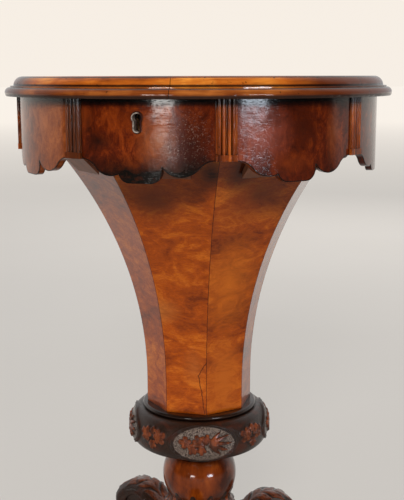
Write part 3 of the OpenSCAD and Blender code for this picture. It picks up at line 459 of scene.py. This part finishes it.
def bare_wood(name, deep, light, roughness=0.55):
    """Plain secondary wood with straight grain and a dry or waxed surface."""
    g = Graph(name)
    place = (g.x, g.y, g.z)
    streak = g.noise(g.scaled(place, (1.0, 1.0, 0.12)), 160.0, 5.0, 0.6, 0.3)
    rings = g.noise(g.scaled(place, (0.25, 1.0, 0.05)), 60.0, 3.0, 0.5, 1.2)
    colour = g.ramp(g.total((streak, 0.5), (rings, 0.5)), [(0.35, deep), (0.62, light)])
    colour = g.tint(colour, g.noise(g.object_place, 12.0, 3.0, 0.6), 0.4, deep)
    # Painted shade darkens the crevices
    colour = g.tint(colour, g.crevice(0.01), 0.5, SHADE_AND_DIRT)
    rough = g.math("MULTIPLY_ADD", streak, 0.15, roughness - 0.06)
    return g.polish(colour, rough, streak, 0.35, distance=0.0005, coat=0.15, coat_roughness=0.3,
                    specular=0.4)


# -------- metal and silk


def metal(name, bright, dark, roughness, painted_shade_from=None, metallic=1.0):
    """Worn metal with tarnish in clouds and fine scratches. Painted shade may darken it from an X
    onwards."""
    g = Graph(name)
    cloud = g.noise(g.object_place, 150.0, 5.0, 0.65, 0.6)
    scratch = g.noise(g.scaled((g.x, g.y, g.z), (1.0, 0.05, 0.3)), 2600.0, 2.0, 0.5)
    share = g.ramp(cloud, [(0.42, 0.0), (0.7, 1.0)])
    if painted_shade_from is not None:
        # Painted shade past an X
        share = g.math("ADD", share, g.step(g.x, painted_shade_from, painted_shade_from + 0.002), clamp=True)
    share = g.math("MAXIMUM", share, g.crevice(0.003))
    normal = g.bump(g.total((scratch, 0.4), (cloud, 1.0)), 0.25, 0.0002, soft_edge=0.0003)
    rough = g.math("MULTIPLY_ADD", cloud, 0.25, roughness)
    return g.surface(g.mix(share, bright, dark), rough, normal, {"Metallic": metallic})


def silk(name, deep, light):
    """Ribbed silk with a fine weave, faded in patches."""
    g = Graph(name)
    ribs = g.add("ShaderNodeTexWave", {"Vector": g.object_place, "Scale": 260.0,
                                       "Distortion": 0.5, "Detail": 1.0}).outputs["Fac"]
    weft = g.add("ShaderNodeTexWave", {"Vector": g.object_place, "Scale": 800.0,
                                       "Distortion": 0.2}, bands_direction="Y").outputs["Fac"]
    weave = g.total((ribs, 0.7), (weft, 0.3))
    fade = g.noise(g.object_place, 20.0, 4.0, 0.6)
    colour = g.mix(g.times(weave, 0.6), deep, light)
    colour = g.tint(colour, fade, 0.5, deep)
    rough = g.math("MULTIPLY_ADD", fade, 0.2, 0.45)
    return g.surface(colour, rough, g.bump(weave, 0.4, 0.0003),
                     {"Sheen Weight": 0.4, "Sheen Roughness": 0.35})


# -------- materials of the CAD nodes


def around(radius):
    """Grain that runs round the axis, at a radius in metres."""
    return lambda g: g.unrolled(radius)


def upright(radius):
    """As around, with the grain's first direction upwards."""
    def turned(g):
        arc, high, reach = g.unrolled(radius)
        return high, arc, reach
    return turned


def flat_side(number):
    """Grain on one of the eight flat sides, counted from the front."""
    return lambda g: g.facing((number - 1) * 45.0)


def across(g):
    """A level board seen from above."""
    return g.x, g.y, g.z


def dress(material, *names):
    """Gives CAD nodes a material."""
    for name in names:
        mesh = nodes[name].data
        mesh.materials.clear()
        mesh.materials.append(material)


def dress_lid():
    """The board and its two mouldings, whose joint and shades show to the photograph's camera."""
    # The spots are painted shade that darkens both ends of the mouldings
    spots = ((272, 729, 130, 120, 1.8, rgb(104, 46, 16)), (-200, 729, 60, 60, 0.8, rgb(96, 46, 20)))
    # Their lines are painted shade in the quirks and under the lower moulding, and a dark band
    # along the top edge
    dress(straight_wood("upper_mould_wood", (rgb(98, 38, 10), rgb(190, 98, 26), rgb(240, 152, 58)),
                        around(0.215), joint_turn=7.7, spots=spots,
                        lines=((738.2, 739.4), (729.4, 731.8))), "lid_upper_moulding")
    dress(straight_wood("lower_mould_wood", (rgb(66, 26, 8), rgb(132, 64, 22), rgb(186, 108, 46)),
                        around(0.22), joint_turn=7.7, worn=0.4, spots=spots,
                        lines=((717, 721.6), (726.8, 729.2))), "lid_lower_moulding")
    dress(veneer("lid_board_wood", (rgb(84, 38, 14), rgb(142, 76, 30), rgb(190, 116, 54)), across,
                 16.0, (1.0, 1.0, 1.0)), "lid_board")


def dress_frieze():
    """The panels and pilasters. Panels 8, 1 and 2 face the photograph's camera."""
    tones = (rgb(44, 11, 2), rgb(94, 30, 4), rgb(150, 62, 14))
    left_tones = (rgb(88, 36, 10), rgb(138, 66, 24), rgb(174, 94, 42))
    place, top = around(0.2085), 714
    dress(veneer("frieze_veneer", tones, place, rim=2.5, top_shade=top),
          *[f"frieze_panel_{k}" for k in BACK_SIDES])
    # The first spot is a lighter patch of painted sheen; the others are tones and dark marks of the
    # veneer
    front_spots_and_painted_light = ((12, 676, 24, 36, 0.5, rgb(150, 84, 44)),
                   (46, 672, 28, 44, 0.7, rgb(52, 18, 10)),
                   (-72, 700, 18, 20, 0.5, rgb(134, 56, 14)),
                   (-50, 676, 20, 12, 0.6, rgb(30, 10, 4)),
                   (-20, 700, 30, 14, 0.4, rgb(116, 44, 8)))
    dress(veneer("frieze_veneer_front", tones, place, seed=0.31, rim=3.0, top_shade=top,
                 low_shade=(644, 665), spots=front_spots_and_painted_light, rough_area=(45, 676, 34, 44, 0.8),
                 scratch_area=(22, 690, 34, 14, 2.0), flecks=(42, 680, 36, 36, 0.28),
                 coat=0.65, coat_roughness=0.1), "frieze_panel_1")
    # The first spot is a pinkish patch of painted sheen; the others are tones of the veneer
    right_spots_and_painted_light = ((118, 684, 40, 36, 0.6, rgb(150, 74, 56)),
                   (165, 690, 26, 30, 0.6, rgb(60, 18, 4)),
                   (206, 684, 12, 40, 0.5, rgb(124, 62, 30)),
                   (150, 655, 30, 14, 0.5, rgb(120, 48, 10)))
    dress(veneer("frieze_veneer_right", tones, place, seed=0.62, rim=2.5, top_shade=top,
                 spots=right_spots_and_painted_light, scratch_area=(122, 684, 40, 26, 1.2),
                 flecks=(104, 690, 26, 30, 0.2), coat=0.65, coat_roughness=0.1), "frieze_panel_2")
    dress(veneer("frieze_veneer_left", left_tones, place, seed=2.48, rim=2.5, top_shade=top),
          "frieze_panel_8")
    # The pilasters' line is painted shade under the lid
    dress(straight_wood("pilaster_wood", (rgb(64, 24, 6), rgb(140, 62, 18), rgb(196, 102, 36)),
                        upright(0.2085), (0.05, 1.0, 1.0), 300.0, crevice_shade=1.0, coat=0.4,
                        coat_roughness=0.1, lines=((711, 722),),
                        spots=((690, -78, 160, 24, 0.8, rgb(84, 38, 14)),)),
          *[f"pilaster_{k}" for k in SIDES])


def dress_trumpet():
    """The staves. Staves 1 and 2 face the photograph's camera, and stave 1 has a crack."""
    tones, figure = (rgb(118, 46, 4), rgb(176, 77, 6), rgb(220, 118, 24)), (27.0, (0.5, 1.0, 1.0))
    dress(veneer("trumpet_veneer", tones, around(0.09), *figure, rim=0.7),
          *[f"trumpet_stave_{k}" for k in BACK_SIDES], "trumpet_stave_8")
    # The spots at heights 640 and 610 are painted shadow under the aprons; the others are tones of
    # the veneer
    front_spots_and_painted_light = ((52, 640, 26, 24, 0.7, rgb(60, 22, 6)),
                   (-30, 470, 30, 20, 0.5, rgb(196, 116, 50)),
                   (10, 400, 16, 30, 0.4, rgb(192, 106, 40)),
                   (-20, 610, 44, 34, 0.5, rgb(112, 48, 12)))
    crack = ([(26, 409), (15, 391), (19.5, 367), (22.6, 344)], 0.9)
    dress(veneer("trumpet_veneer_front", tones, flat_side(1), *figure, seed=0.43, crack=crack,
                 rim=0.7, spots=front_spots_and_painted_light), "trumpet_stave_1")
    # The spots at heights 640 and 610 are painted shadow under the aprons; the others are tones of
    # the veneer
    right_spots_and_painted_light = ((-30, 640, 26, 24, 0.7, rgb(60, 22, 6)),
                   (0, 385, 30, 60, 0.7, rgb(198, 100, 22)),
                   (-4, 506, 44, 70, 0.55, rgb(214, 112, 24)),
                   (0, 610, 44, 34, 0.5, rgb(112, 48, 12)))
    dress(veneer("trumpet_veneer_right", tones, flat_side(2), *figure, seed=0.86, rim=0.7,
                 spots=right_spots_and_painted_light), "trumpet_stave_2")


def dress_turned_pieces():
    """The dark ring under the trumpet, and the stem with its grain upright."""
    dress(straight_wood("base_ring_wood", (rgb(22, 12, 8), rgb(46, 27, 18), rgb(80, 44, 26)),
                        around(0.07), coat=1.0, coat_roughness=0.09), "trumpet_base_ring")
    dress(straight_wood("stem_wood", (rgb(64, 22, 3), rgb(132, 56, 10), rgb(182, 94, 26)),
                        upright(0.046), (0.3, 1.0, 1.0), 34.0, coat=1.0, coat_roughness=0.09),
          "turned_stem")


def dress_hidden_wood():
    """The wood of the inside and the underside."""
    # The bottom board is painted dark, as the shade under the aprons
    dress(bare_wood("under_board_painted_shade", rgb(34, 18, 10), rgb(66, 38, 20)), "bottom_board")
    dress(bare_wood("block_wood", rgb(128, 74, 46), rgb(176, 112, 78)), "glue_blocks")
    dress(bare_wood("pine_wood", rgb(116, 80, 46), rgb(172, 130, 82), 0.6),
          "carcass_ring", "well_block")
    dress(bare_wood("satinwood_wood", rgb(142, 98, 48), rgb(200, 154, 88), 0.4),
          "well_wall", "compartment_dividers")


def dress_metal():
    """The hinges, the lock and the leg plate. The keyhole's liner has painted shade on its right
    side.
    """
    worn_brass = metal("worn_brass", rgb(196, 162, 102), rgb(98, 70, 38), 0.28)
    dress(worn_brass, "link_plate", "link_plate_screws", "lock_case", "lock_screws",
          *[name for name in nodes if "hinge_leaf" in name or "hinge_screws" in name])
    dark_iron = metal("dark_iron", rgb(76, 72, 68), rgb(34, 31, 29), 0.5)
    dress(dark_iron, "hinge_pins", "lock_bolt", "leg_plate", "leg_plate_screws")
    dress(metal("liner_metal", rgb(214, 200, 186), rgb(60, 20, 10), 0.3, -0.0058, 0.5),
          "escutcheon")


# -------- leaves


def smooth_step(x, low, high):
    t = np.clip((x - low) / (high - low), 0, 1)
    return t * t * (3 - 2 * t)


def bead(x, at, half, height):
    """Height of a half-round line at x."""
    return height * np.sqrt(np.clip(1 - ((x - at) / half) ** 2, 0, 1))


def leaf(u, v, at, way, length, width, relief, lobes=3):
    """Height of a leaf with a midrib, side veins and lobed edges, at points (u, v) in
    millimetres."""
    c, s = math.cos(math.radians(way)), math.sin(math.radians(way))
    p = (u - at[0]) * c + (v - at[1]) * s
    q = (v - at[1]) * c - (u - at[0]) * s
    t = np.clip(p / length, 0, 1)
    lobed = 1 + 0.18 * np.cos(2 * np.pi * lobes * t)
    half = width * np.clip(np.sin(np.pi * t**0.8), 0, 1) ** 0.75 * lobed
    side = np.abs(q) / np.maximum(half, 0.05)
    inside = np.clip(1 - side, 0, 1) * (p > 0) * (p < length)
    rib = np.exp(-((q / 0.5) ** 2))
    veins = 0.5 + 0.5 * np.cos(2 * np.pi * (lobes * t * 1.6 - side))
    modelled = (0.7 + 0.3 * inside) * (1 - 0.3 * rib - 0.22 * veins * (1 - rib))
    return relief * smooth_step(inside, 0, 0.4) * modelled


def vine_leaf(u, v, at, way, size, relief):
    """Height of a five-lobed leaf with a vein in each lobe, at points (u, v) in millimetres."""
    fifth = 2 * math.pi / 5
    turn = np.arctan2(v - at[1], u - at[0]) - math.radians(way)
    reach = np.hypot(u - at[0], v - at[1])
    lobe = np.abs(np.cos(2.5 * turn))
    edge = size * (0.62 + 0.38 * lobe**0.8) * (0.86 + 0.14 * np.cos(turn))
    off_vein = reach * np.abs(np.sin((turn + fifth / 2) % fifth - fifth / 2))
    vein = np.exp(-((off_vein / 0.55) ** 2)) * smooth_step(reach, 0, 2)
    inside = np.clip(1 - reach / edge, 0, 1)
    return relief * smooth_step(inside, 0, 0.45) * (0.6 + 0.4 * lobe) * (1 - 0.5 * vein)


# -------- meshes


def spun(radius, level, turn):
    """Points in metres at a radius, a level and a turn in radians round the axis."""
    points = np.broadcast_arrays(radius * np.sin(turn), -radius * np.cos(turn), level)
    return np.stack(points, -1) * MM


def grid_piece(name, points, material, body, wrap=True, raised=None):
    """A smooth mesh through a grid of points, closed round its first direction if wrap is set."""
    rows, cols = points.shape[:2]
    index = np.arange(rows * cols).reshape(rows, cols)
    first = index if wrap else index[:-1]
    second = np.roll(index, -1, 0) if wrap else index[1:]
    quads = np.stack([first[:, :-1], second[:, :-1], second[:, 1:], first[:, 1:]], -1)
    quads = quads.reshape(-1, 4)
    mesh = bpy.data.meshes.new(name)
    mesh.vertices.add(rows * cols)
    mesh.vertices.foreach_set("co", points.reshape(-1).astype(np.float32))
    mesh.loops.add(quads.size)
    mesh.loops.foreach_set("vertex_index", quads.reshape(-1).astype(np.int32))
    mesh.polygons.add(len(quads))
    mesh.polygons.foreach_set("loop_start", np.arange(0, quads.size, 4, dtype=np.int32))
    mesh.polygons.foreach_set("use_smooth", np.ones(len(quads), dtype=bool))
    mesh.update(calc_edges=True)
    return finish_piece(name, mesh, material, body, raised)


def finish_piece(name, mesh, material, body, raised=None):
    """Closes a mesh's seams, turns its faces outwards and adds it to the scene on a body."""
    if raised is not None:
        layer = mesh.attributes.new("raised", "FLOAT", "POINT")
        layer.data.foreach_set("value", raised.reshape(-1).astype(np.float32))
    work = bmesh.new()
    work.from_mesh(mesh)
    bmesh.ops.remove_doubles(work, verts=work.verts, dist=0.00001)
    bmesh.ops.recalc_face_normals(work, faces=work.faces)
    work.to_mesh(mesh)
    work.free()
    mesh.materials.clear()
    mesh.materials.append(material)
    piece = add_object(name, mesh)
    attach(piece, body)
    return piece


# -------- collar and cup


def turn_from(middle, angle):
    """Angle past a middle one, in radians from -pi to pi. Both are given in degrees."""
    return np.radians((angle - middle + 180) % 360 - 180)


def collar_relief(angle, z):
    """Height of the collar's carving, and its colour: 1 on leaves and -1 on a cartouche's ground,
    at an angle in degrees and a height in millimetres."""
    rims, leaves, ground = np.zeros_like(z), np.zeros_like(z), np.zeros_like(z)
    v = z - OVAL_Z
    for k in range(4):
        turn = turn_from(CARTOUCHE_TURN + 90 * k, angle)
        near = np.abs(turn) < CARTOUCHE_HALF
        u = COLLAR_R * np.sin(turn)
        oval = np.sqrt((u / OVAL_W) ** 2 + (v / OVAL_H) ** 2)
        boss = BOSS_H * smooth_step(1 - oval, -0.02, 0.07)
        frame_lines = bead(oval, 0.96, 0.035, 1.3) + bead(oval, 0.885, 0.022, 0.9)
        inside = near & (oval < OVAL_INSIDE)
        stalk = 3.0 * np.sqrt(np.clip(1 - ((u + 8) ** 2 / 90 + v**2 / 9), 0, 1))
        motif = [vine_leaf(u, v, *each) for each in CARTOUCHE_LEAVES] + [stalk]
        motif += [leaf(u, v, FAN_PLACE, way, FAN_LENGTH * share, FAN_WIDTH, FAN_H, 0)
                  for way, share in FAN_LEAVES]
        rims = np.where(near, rims + boss + frame_lines, rims)
        leaves = np.where(inside, np.maximum.reduce(motif), leaves)
        ground = np.where(inside, 1.0, ground)
    for k in range(4):
        turn = turn_from(CARTOUCHE_TURN + 45 + 90 * k, angle)
        near = np.abs(turn) < SPRAY_HALF
        spray = np.maximum.reduce([vine_leaf(COLLAR_R * turn, v, *each) for each in SPRAY_LEAVES])
        leaves = np.where(near & (rims < 0.2), np.maximum(leaves, spray), leaves)
    return rims + leaves, np.where(leaves > 0.5, leaves / 2.6, -ground)


def collar_profile():
    """Radius and height along the collar's outline, from its top rim to its underside."""
    collar_low = RING_LOW - COLLAR_H
    a = np.linspace(0, math.pi / 2, 56)
    rise, fall = np.sin(a), np.clip(np.cos(a), 0, 1)
    under = np.linspace(0, 1, 12)[1:]
    radius = [BASE_RING_R + (COLLAR_R - BASE_RING_R) * rise**UPPER_FULLNESS,
              (COLLAR_TURN_R + (COLLAR_R - COLLAR_TURN_R) * fall**LOWER_FULLNESS)[1:],
              COLLAR_TURN_R + (COLLAR_INNER_R - COLLAR_TURN_R) * under]
    level = [COLLAR_MIDDLE + (RING_LOW - COLLAR_MIDDLE) * fall**UPPER_FULLNESS,
             (COLLAR_MIDDLE - (COLLAR_MIDDLE - COLLAR_TURN_Z) * rise**LOWER_FULLNESS)[1:],
             COLLAR_TURN_Z + (collar_low - COLLAR_TURN_Z) * under**1.4]
    return np.concatenate(radius), np.concatenate(level)


def make_collar(material):
    """The carved collar: full above, turned under more tightly below, and closed at the stem."""
    rows = 760
    angle = (np.arange(rows) * 360 / rows)[:, None]
    r, z = collar_profile()
    way_r, way_z = -np.gradient(z), np.gradient(r)
    size = np.hypot(way_r, way_z)
    relief, leaves = collar_relief(*np.broadcast_arrays(angle, z[None, :]))
    # The carving runs out towards the flat top and the turn below
    low_fade = smooth_step(z, COLLAR_TURN_Z + 0.5, COLLAR_TURN_Z + 4)
    fade = smooth_step(RING_LOW - z, 0, 2.5) * low_fade
    relief = relief * fade
    one = np.ones((rows, 1))
    core = one * COLLAR_CORE_R
    radius = np.hstack([core, r + relief * (way_r / size), core])
    level = np.hstack([one * RING_LOW, z + relief * (way_z / size), one * (RING_LOW - COLLAR_H)])
    raised = np.hstack([0 * one, leaves * fade, 0 * one])
    points = spun(radius, level, np.radians(angle))
    piece = grid_piece("collar_carving", points, material, "table", raised=raised)
    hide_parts("carved_collar")


def stem_radius(z):
    """Radius of the stem from the bead below the cup up to the knop."""
    drop = np.clip(KNOP_LOW - z, 0, CUP_DROP)
    hollow = PINCH_R + CUP_H - np.sqrt(CUP_H**2 - drop**2)
    r = np.where(z > KNOP_LOW - CUP_DROP, hollow, CUP_R)
    knop = np.sqrt(np.clip(KNOP_R**2 - (z - KNOP_Z) ** 2, 0, None)) - KNOP_SHIFT
    r = np.where(z > KNOP_LOW, knop, r)
    round_bead = np.sqrt(np.clip(BEAD_R**2 - (z - BEAD_TOP + BEAD_R) ** 2, 0, None))
    return np.where(z < BEAD_TOP, CUP_R - BEAD_R + round_bead, r)


def make_cup_leaves(material):
    """The leaves that stand round the cup below the knop, with their tips up."""
    side = np.linspace(-1, 1, 15)[:, None]
    s = np.linspace(0, 1, 34)[None, :]
    z = CUP_LEAF_TIP - s * CUP_LEAF_LENGTH
    half = CUP_LEAF_HALF * np.sin(np.pi * (0.04 + 0.62 * s)) ** 0.8 * (1 + 0.05 * np.cos(20 * s))
    along_dome = np.sqrt(np.clip(np.sin(np.pi * (0.02 + 0.96 * s)), 0, 1))
    dome = np.sqrt(np.clip(1 - side**2, 0, 1)) * along_dome
    rib = 0.5 * np.exp(-((side / 0.12) ** 2))
    veins = 0.18 * np.cos(2 * np.pi * (7 * s + 1.4 * np.abs(side)))
    height = dome * (1.5 + rib + veins)
    radius = stem_radius(z) - CUP_LEAF_SUNK + height
    for k in range(CUP_LEAF_COUNT):
        middle = CARTOUCHE_TURN + (k + 0.5) * 360 / CUP_LEAF_COUNT
        points = spun(radius, z, np.radians(middle + side * half))
        grid_piece(f"cup_leaf_{k + 1}", points, material, "table", False,
                   height / 5)


# -------- legs


def rounded_copy(node):
    """The mesh of a CAD node with all its edges rounded."""
    rough = add_object(node.name + "_rough", node.data.copy())
    remesh = rough.modifiers.new("remesh", "REMESH")
    remesh.mode = "VOXEL"
    remesh.voxel_size = 0.0015
    smooth = rough.modifiers.new("smooth", "SMOOTH")
    smooth.factor = 0.5
    smooth.iterations = 14
    graph = bpy.context.evaluated_depsgraph_get()
    mesh = bpy.data.meshes.new_from_object(rough.evaluated_get(graph))
    bpy.data.objects.remove(rough)
    return mesh


def knee_leaves(over_knee, lateral):
    """Height of the acanthus at a distance over the knee and from its middle, in millimetres."""
    relief = leaf(over_knee, lateral, (0, 0), 0, 140, 4.5, 1.6, 9)
    for step in range(7):
        start = (KNEE_LEAF_START + KNEE_LEAF_STEP * step, 0)
        for way in (38, -38):
            relief = np.maximum(relief, leaf(over_knee, lateral, start, way, 30, 6.0, 2.0, 2))
    return relief


def make_leg(name, turn, material):
    """Rounded and carved leg, cut from the CAD leg's own form."""
    mesh = rounded_copy(nodes[name])
    count = len(mesh.vertices)
    place, normal = np.empty(count * 3, np.float32), np.empty(count * 3, np.float32)
    mesh.vertices.foreach_get("co", place)
    mesh.vertex_normals.foreach_get("vector", normal)
    place, normal = place.reshape(-1, 3) * 1000, normal.reshape(-1, 3)
    c, s = math.cos(math.radians(turn)), math.sin(math.radians(turn))
    reach = place[:, 0] * s - place[:, 1] * c
    lateral = place[:, 0] * c + place[:, 1] * s
    facing = normal[:, 0] * c + normal[:, 1] * s
    # The leaves run over the knee, from the seat outwards, round the knee scroll's eye
    turned = np.degrees(np.arctan2(place[:, 2] - KNEE_Z, reach - KNEE_REACH))
    over_knee = KNEE_R * np.radians((SEAT_TURN - turned) % 360)
    outward = np.hypot(reach - KNEE_REACH, place[:, 2] - KNEE_Z) > KNEE_R - SCROLL_DEPTH
    carved = outward & (over_knee < KNEE_LEAF_END) & (place[:, 2] > KNEE_LEAF_LOW)
    relief = knee_leaves(over_knee, lateral) * smooth_step(1 - np.abs(facing), 0.2, 0.6) * carved
    place = place + normal * relief[:, None]
    # The knee is fuller outwards, and its top falls towards the stem
    fuller = smooth_step(reach, *FULLER_REACH) * smooth_step(place[:, 2], *FULLER_Z)
    place[:, 0] += KNEE_FULLER * fuller * s
    place[:, 1] -= KNEE_FULLER * fuller * c
    at_seat = smooth_step(reach, *SEAT_START) * (1 - smooth_step(reach, *SEAT_END))
    place[:, 2] -= SEAT_FALL * at_seat * smooth_step(place[:, 2], *SEAT_Z)
    lift = smooth_step(reach, *LIFT_REACH) * smooth_step(place[:, 2], *LIFT_Z)
    place[:, 2] += KNEE_LIFT[name] * lift
    # The foot's sole stays flat on the floor
    place[:, 2] = np.where(place[:, 2] < SOLE_DEPTH, 0, place[:, 2])
    mesh.vertices.foreach_set("co", (place * MM).reshape(-1).astype(np.float32))
    mesh.polygons.foreach_set("use_smooth", np.ones(len(mesh.polygons), dtype=bool))
    mesh.update()
    piece = finish_piece(name + "_carving", mesh, material, "table", relief / 2.0)
    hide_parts(name)
    make_knee_web(name, c, s, material)


def make_knee_web(name, c, s, material):
    """A dished disc with a button on both flanks, which closes the knee scroll round its eye."""
    rows = 72
    radius = np.concatenate([WEB_PROFILE[:, 0], WEB_PROFILE[::-1, 0]])
    side = np.concatenate([WEB_PROFILE[:, 1], -WEB_PROFILE[::-1, 1]])
    t = (np.arange(rows) * 2 * math.pi / rows)[:, None]
    reach = KNEE_REACH + WEB_SHIFT + radius * np.cos(t)
    level = KNEE_Z + radius * np.sin(t)
    points = np.stack([reach * s + side * c, -reach * c + side * s, level], -1) * MM
    grid_piece(name + "_web", points, material, "table")


# -------- silk pads


def octagon_edge(t):
    """Distance from the axis to the well's flat sides at an angle in radians."""
    near = (t + math.pi / 8) % (math.pi / 4) - math.pi / 8
    return (WELL_APOTHEM - 0.3) / math.cos(near)


def make_pad(name, body, node, radius_at, low, high, pleats, crown, face, material):
    """A gathered silk pad on a board: flat behind, crowned in front, its edge drawn in.

    The face is -1 where the crown looks down and 1 where it looks up."""
    rows, cols = 360, 46
    # The grid runs over the front up to one share, round the edge, and back from the other
    front_end, back_start = 0.62, 0.72
    angle = np.arange(rows) * 2 * math.pi / rows
    s = np.linspace(0, 1, cols)
    share = np.where(s < front_end, s / front_end, 1.0)
    share = share * np.where(s > back_start, (1 - s) / (1 - back_start), 1.0)
    edge = np.array([radius_at(t) for t in angle])
    back, front = (low, high) if face > 0 else (high, low)
    bulge = np.sqrt(np.clip(1 - share**8, 0, 1)) * crown
    pleated = 0.35 * crown * np.cos(pleats * angle)[:, None] * smooth_step(share, 0.08, 0.3)
    button = np.exp(-((share / 0.04) ** 2)) * crown * 0.9
    shaped = front - face * crown * 0.6 + face * (bulge - button)
    shaped = shaped + face * pleated * (share < 0.985)
    turn_over = smooth_step(s, front_end, back_start)
    level = shaped * (1 - turn_over) + back * turn_over
    points = spun(share * edge[:, None], level, angle[:, None])
    piece = grid_piece(name, points, material, body)
    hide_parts(node)


# -------- stage, light and camera


def make_floor():
    """A plain pale floor. Its own light runs into the wall's colour far behind. It shows to the
    camera, and in the polish where it lies behind the table."""
    floor_r, wall_start, wall_end = 70.0, 2.2, 15.0
    g = Graph("pale_floor")
    far = g.step(g.length(g.x, g.y), wall_start, wall_end)
    far = g.math("SMOOTH_MIN", far, 1.0, 0.2)
    tone = g.mix(g.noise(g.object_place, 1.4, 3.0, 0.5), *FLOOR_TONES)
    lit = g.add("ShaderNodeBsdfPrincipled",
                {"Base Color": g.mix(far, tone, (0, 0, 0, 1)), "Roughness": 0.9})
    rays = g.add("ShaderNodeLightPath").outputs
    behind = g.total((g.x, -math.sin(CAMERA_TURN)), (g.y, math.cos(CAMERA_TURN)))
    in_polish = g.times(rays["Is Glossy Ray"], g.step(behind, 0.0, 0.8))
    seen = g.math("MAXIMUM", rays["Is Camera Ray"], rays["Is Transmission Ray"])
    strength = g.math("MAXIMUM", seen, in_polish)
    glow = g.add("ShaderNodeEmission",
                 {"Color": g.mix(far, FLOOR_GLOW, WALL), "Strength": strength})
    both = g.add("ShaderNodeAddShader", {0: lit.outputs[0], 1: glow.outputs[0]})
    mesh = bpy.data.meshes.new("floor")
    turns = [math.radians(a) for a in range(0, 360, 5)]
    rim = [(floor_r * math.cos(a), floor_r * math.sin(a), 0) for a in turns]
    mesh.from_pydata(rim, [], [list(range(len(rim)))])
    mesh.materials.append(g.finish(both))
    add_object("floor", mesh)


def area_light(name, turn, distance, height, size, radiance, colour, aim):
    """A rectangular lamp at an angle from the camera's direction, turned to a height on the
    axis."""
    lamp = bpy.data.lights.new(name, "AREA")
    lamp.shape = "RECTANGLE"
    lamp.size, lamp.size_y = size
    lamp.energy = radiance * math.pi * size[0] * size[1]
    lamp.color = colour
    holder = add_object(name, lamp)
    a = CAMERA_TURN + math.radians(turn)
    holder.location = (distance * math.sin(a), -distance * math.cos(a), height)
    away = holder.location - Vector((0, 0, aim))
    holder.rotation_euler = away.to_track_quat("Z", "Y").to_euler()
    holder.visible_camera = False
    return holder


def make_lamps():
    """Two windows that show in the polish, and a key and a weaker fill that light the wood."""
    warm, cool = (1.0, 0.97, 0.93), (0.78, 0.88, 1.0)
    windows = (area_light("window_left", -21, 8.0, 0.74, (1.7, 0.7), 19.0, warm, 0.6),
               area_light("window_right", 33, 8.0, 0.74, (2.3, 0.7), 21.0, cool, 0.6))
    for window in windows:
        window.visible_diffuse = False
    lamps = (area_light("key", -6, 4.0, 2.45, (0.9, 0.7), 58.0, (1.0, 0.96, 0.9), 0.6),
             area_light("fill", 165, 4.0, 2.2, (2.0, 1.5), 6.0, warm, 0.5))
    for lamp in lamps:
        lamp.visible_glossy = False


def make_world():
    """A room with a pale sky. In the polish, the wall behind is pale and the room in front
    dark."""
    world = bpy.data.worlds.new("room")
    bpy.context.scene.world = world
    world.use_nodes = True
    tree = world.node_tree
    background = tree.nodes["Background"]
    rays = tree.nodes.new("ShaderNodeLightPath").outputs
    direction = tree.nodes.new("ShaderNodeTexCoord").outputs["Generated"]

    def gradient(towards, start, end, low, high):
        """Light from low to high as the share of a direction goes from start to end."""
        share = tree.nodes.new("ShaderNodeVectorMath")
        share.operation = "DOT_PRODUCT"
        tree.links.new(direction, share.inputs[0])
        share.inputs[1].default_value = towards
        ramp = tree.nodes.new("ShaderNodeMapRange")
        tree.links.new(share.outputs["Value"], ramp.inputs["Value"])
        levels = {"From Min": start, "From Max": end, "To Min": low, "To Max": high}
        for socket, value in levels.items():
            ramp.inputs[socket].default_value = value
        return ramp.outputs[0]

    def pick(share, a):
        """A colour mix whose second colour is left to the caller."""
        node = tree.nodes.new("ShaderNodeMix")
        node.data_type = "RGBA"
        tree.links.new(share, node.inputs[0])
        tree.links.new(a, node.inputs[6])
        return node

    camera_way = (math.sin(CAMERA_TURN), -math.cos(CAMERA_TURN), 0)
    polished = pick(rays["Is Glossy Ray"], gradient((0, 0, 1), -0.1, 1.0, 0.24, 0.68))
    tree.links.new(gradient(camera_way, 0.1, -0.4, 0.02, 0.6), polished.inputs[7])
    seen = pick(rays["Is Camera Ray"], polished.outputs[2])
    seen.inputs[7].default_value = WALL
    tree.links.new(seen.outputs[2], background.inputs["Color"])
    background.inputs["Strength"].default_value = 1.0


def make_camera():
    """The photograph's camera."""
    camera = add_object("camera", bpy.data.cameras.new("camera"))
    bpy.context.scene.camera = camera
    camera.data.lens = CAMERA_LENS
    camera.data.sensor_width = CAMERA_SENSOR
    camera.location = (CAMERA_REACH * math.sin(CAMERA_TURN), -CAMERA_REACH * math.cos(CAMERA_TURN),
                       CAMERA_HEIGHT)
    heading = Matrix.Rotation(CAMERA_TURN - CAMERA_YAW, 4, "Z")
    tilt = Matrix.Rotation(math.pi / 2 - CAMERA_PITCH, 4, "X")
    camera.rotation_euler = (heading @ tilt @ Matrix.Rotation(CAMERA_ROLL, 4, "Z")).to_euler()


dress_lid()
dress_frieze()
dress_trumpet()
dress_turned_pieces()
dress_hidden_wood()
dress_metal()

carving = carved_wood("carved_walnut", rgb(50, 32, 23), (rgb(90, 36, 14), rgb(156, 80, 42)),
                      rgb(86, 36, 16), coat=0.75, coat_roughness=0.12)
leg_carving = carved_wood("carved_leg_walnut", rgb(50, 33, 25), (rgb(78, 38, 22), rgb(122, 62, 34)),
                          rgb(70, 30, 16), coat=0.9, coat_roughness=0.17)
lining = silk("silk_lining", rgb(70, 20, 28), rgb(140, 60, 68))

make_collar(carving)
make_cup_leaves(carving)
for leg_name, leg_turn in LEG_TURNS.items():
    make_leg(leg_name, leg_turn, leg_carving)
make_pad("lid_silk", "lid", "lid_lining", lambda t: LINING_R - 0.5, LINING_LOW, LID_LOW,
         pleats=90, crown=1.6, face=-1, material=lining)
make_pad("well_silk", "table", "well_floor", octagon_edge, WELL_FLOOR_LOW, WELL_FLOOR_TOP,
         pleats=40, crown=1.2, face=1, material=lining)

make_floor()
make_lamps()
make_world()
make_camera()
bpy.context.scene.view_settings.view_transform = "Standard"
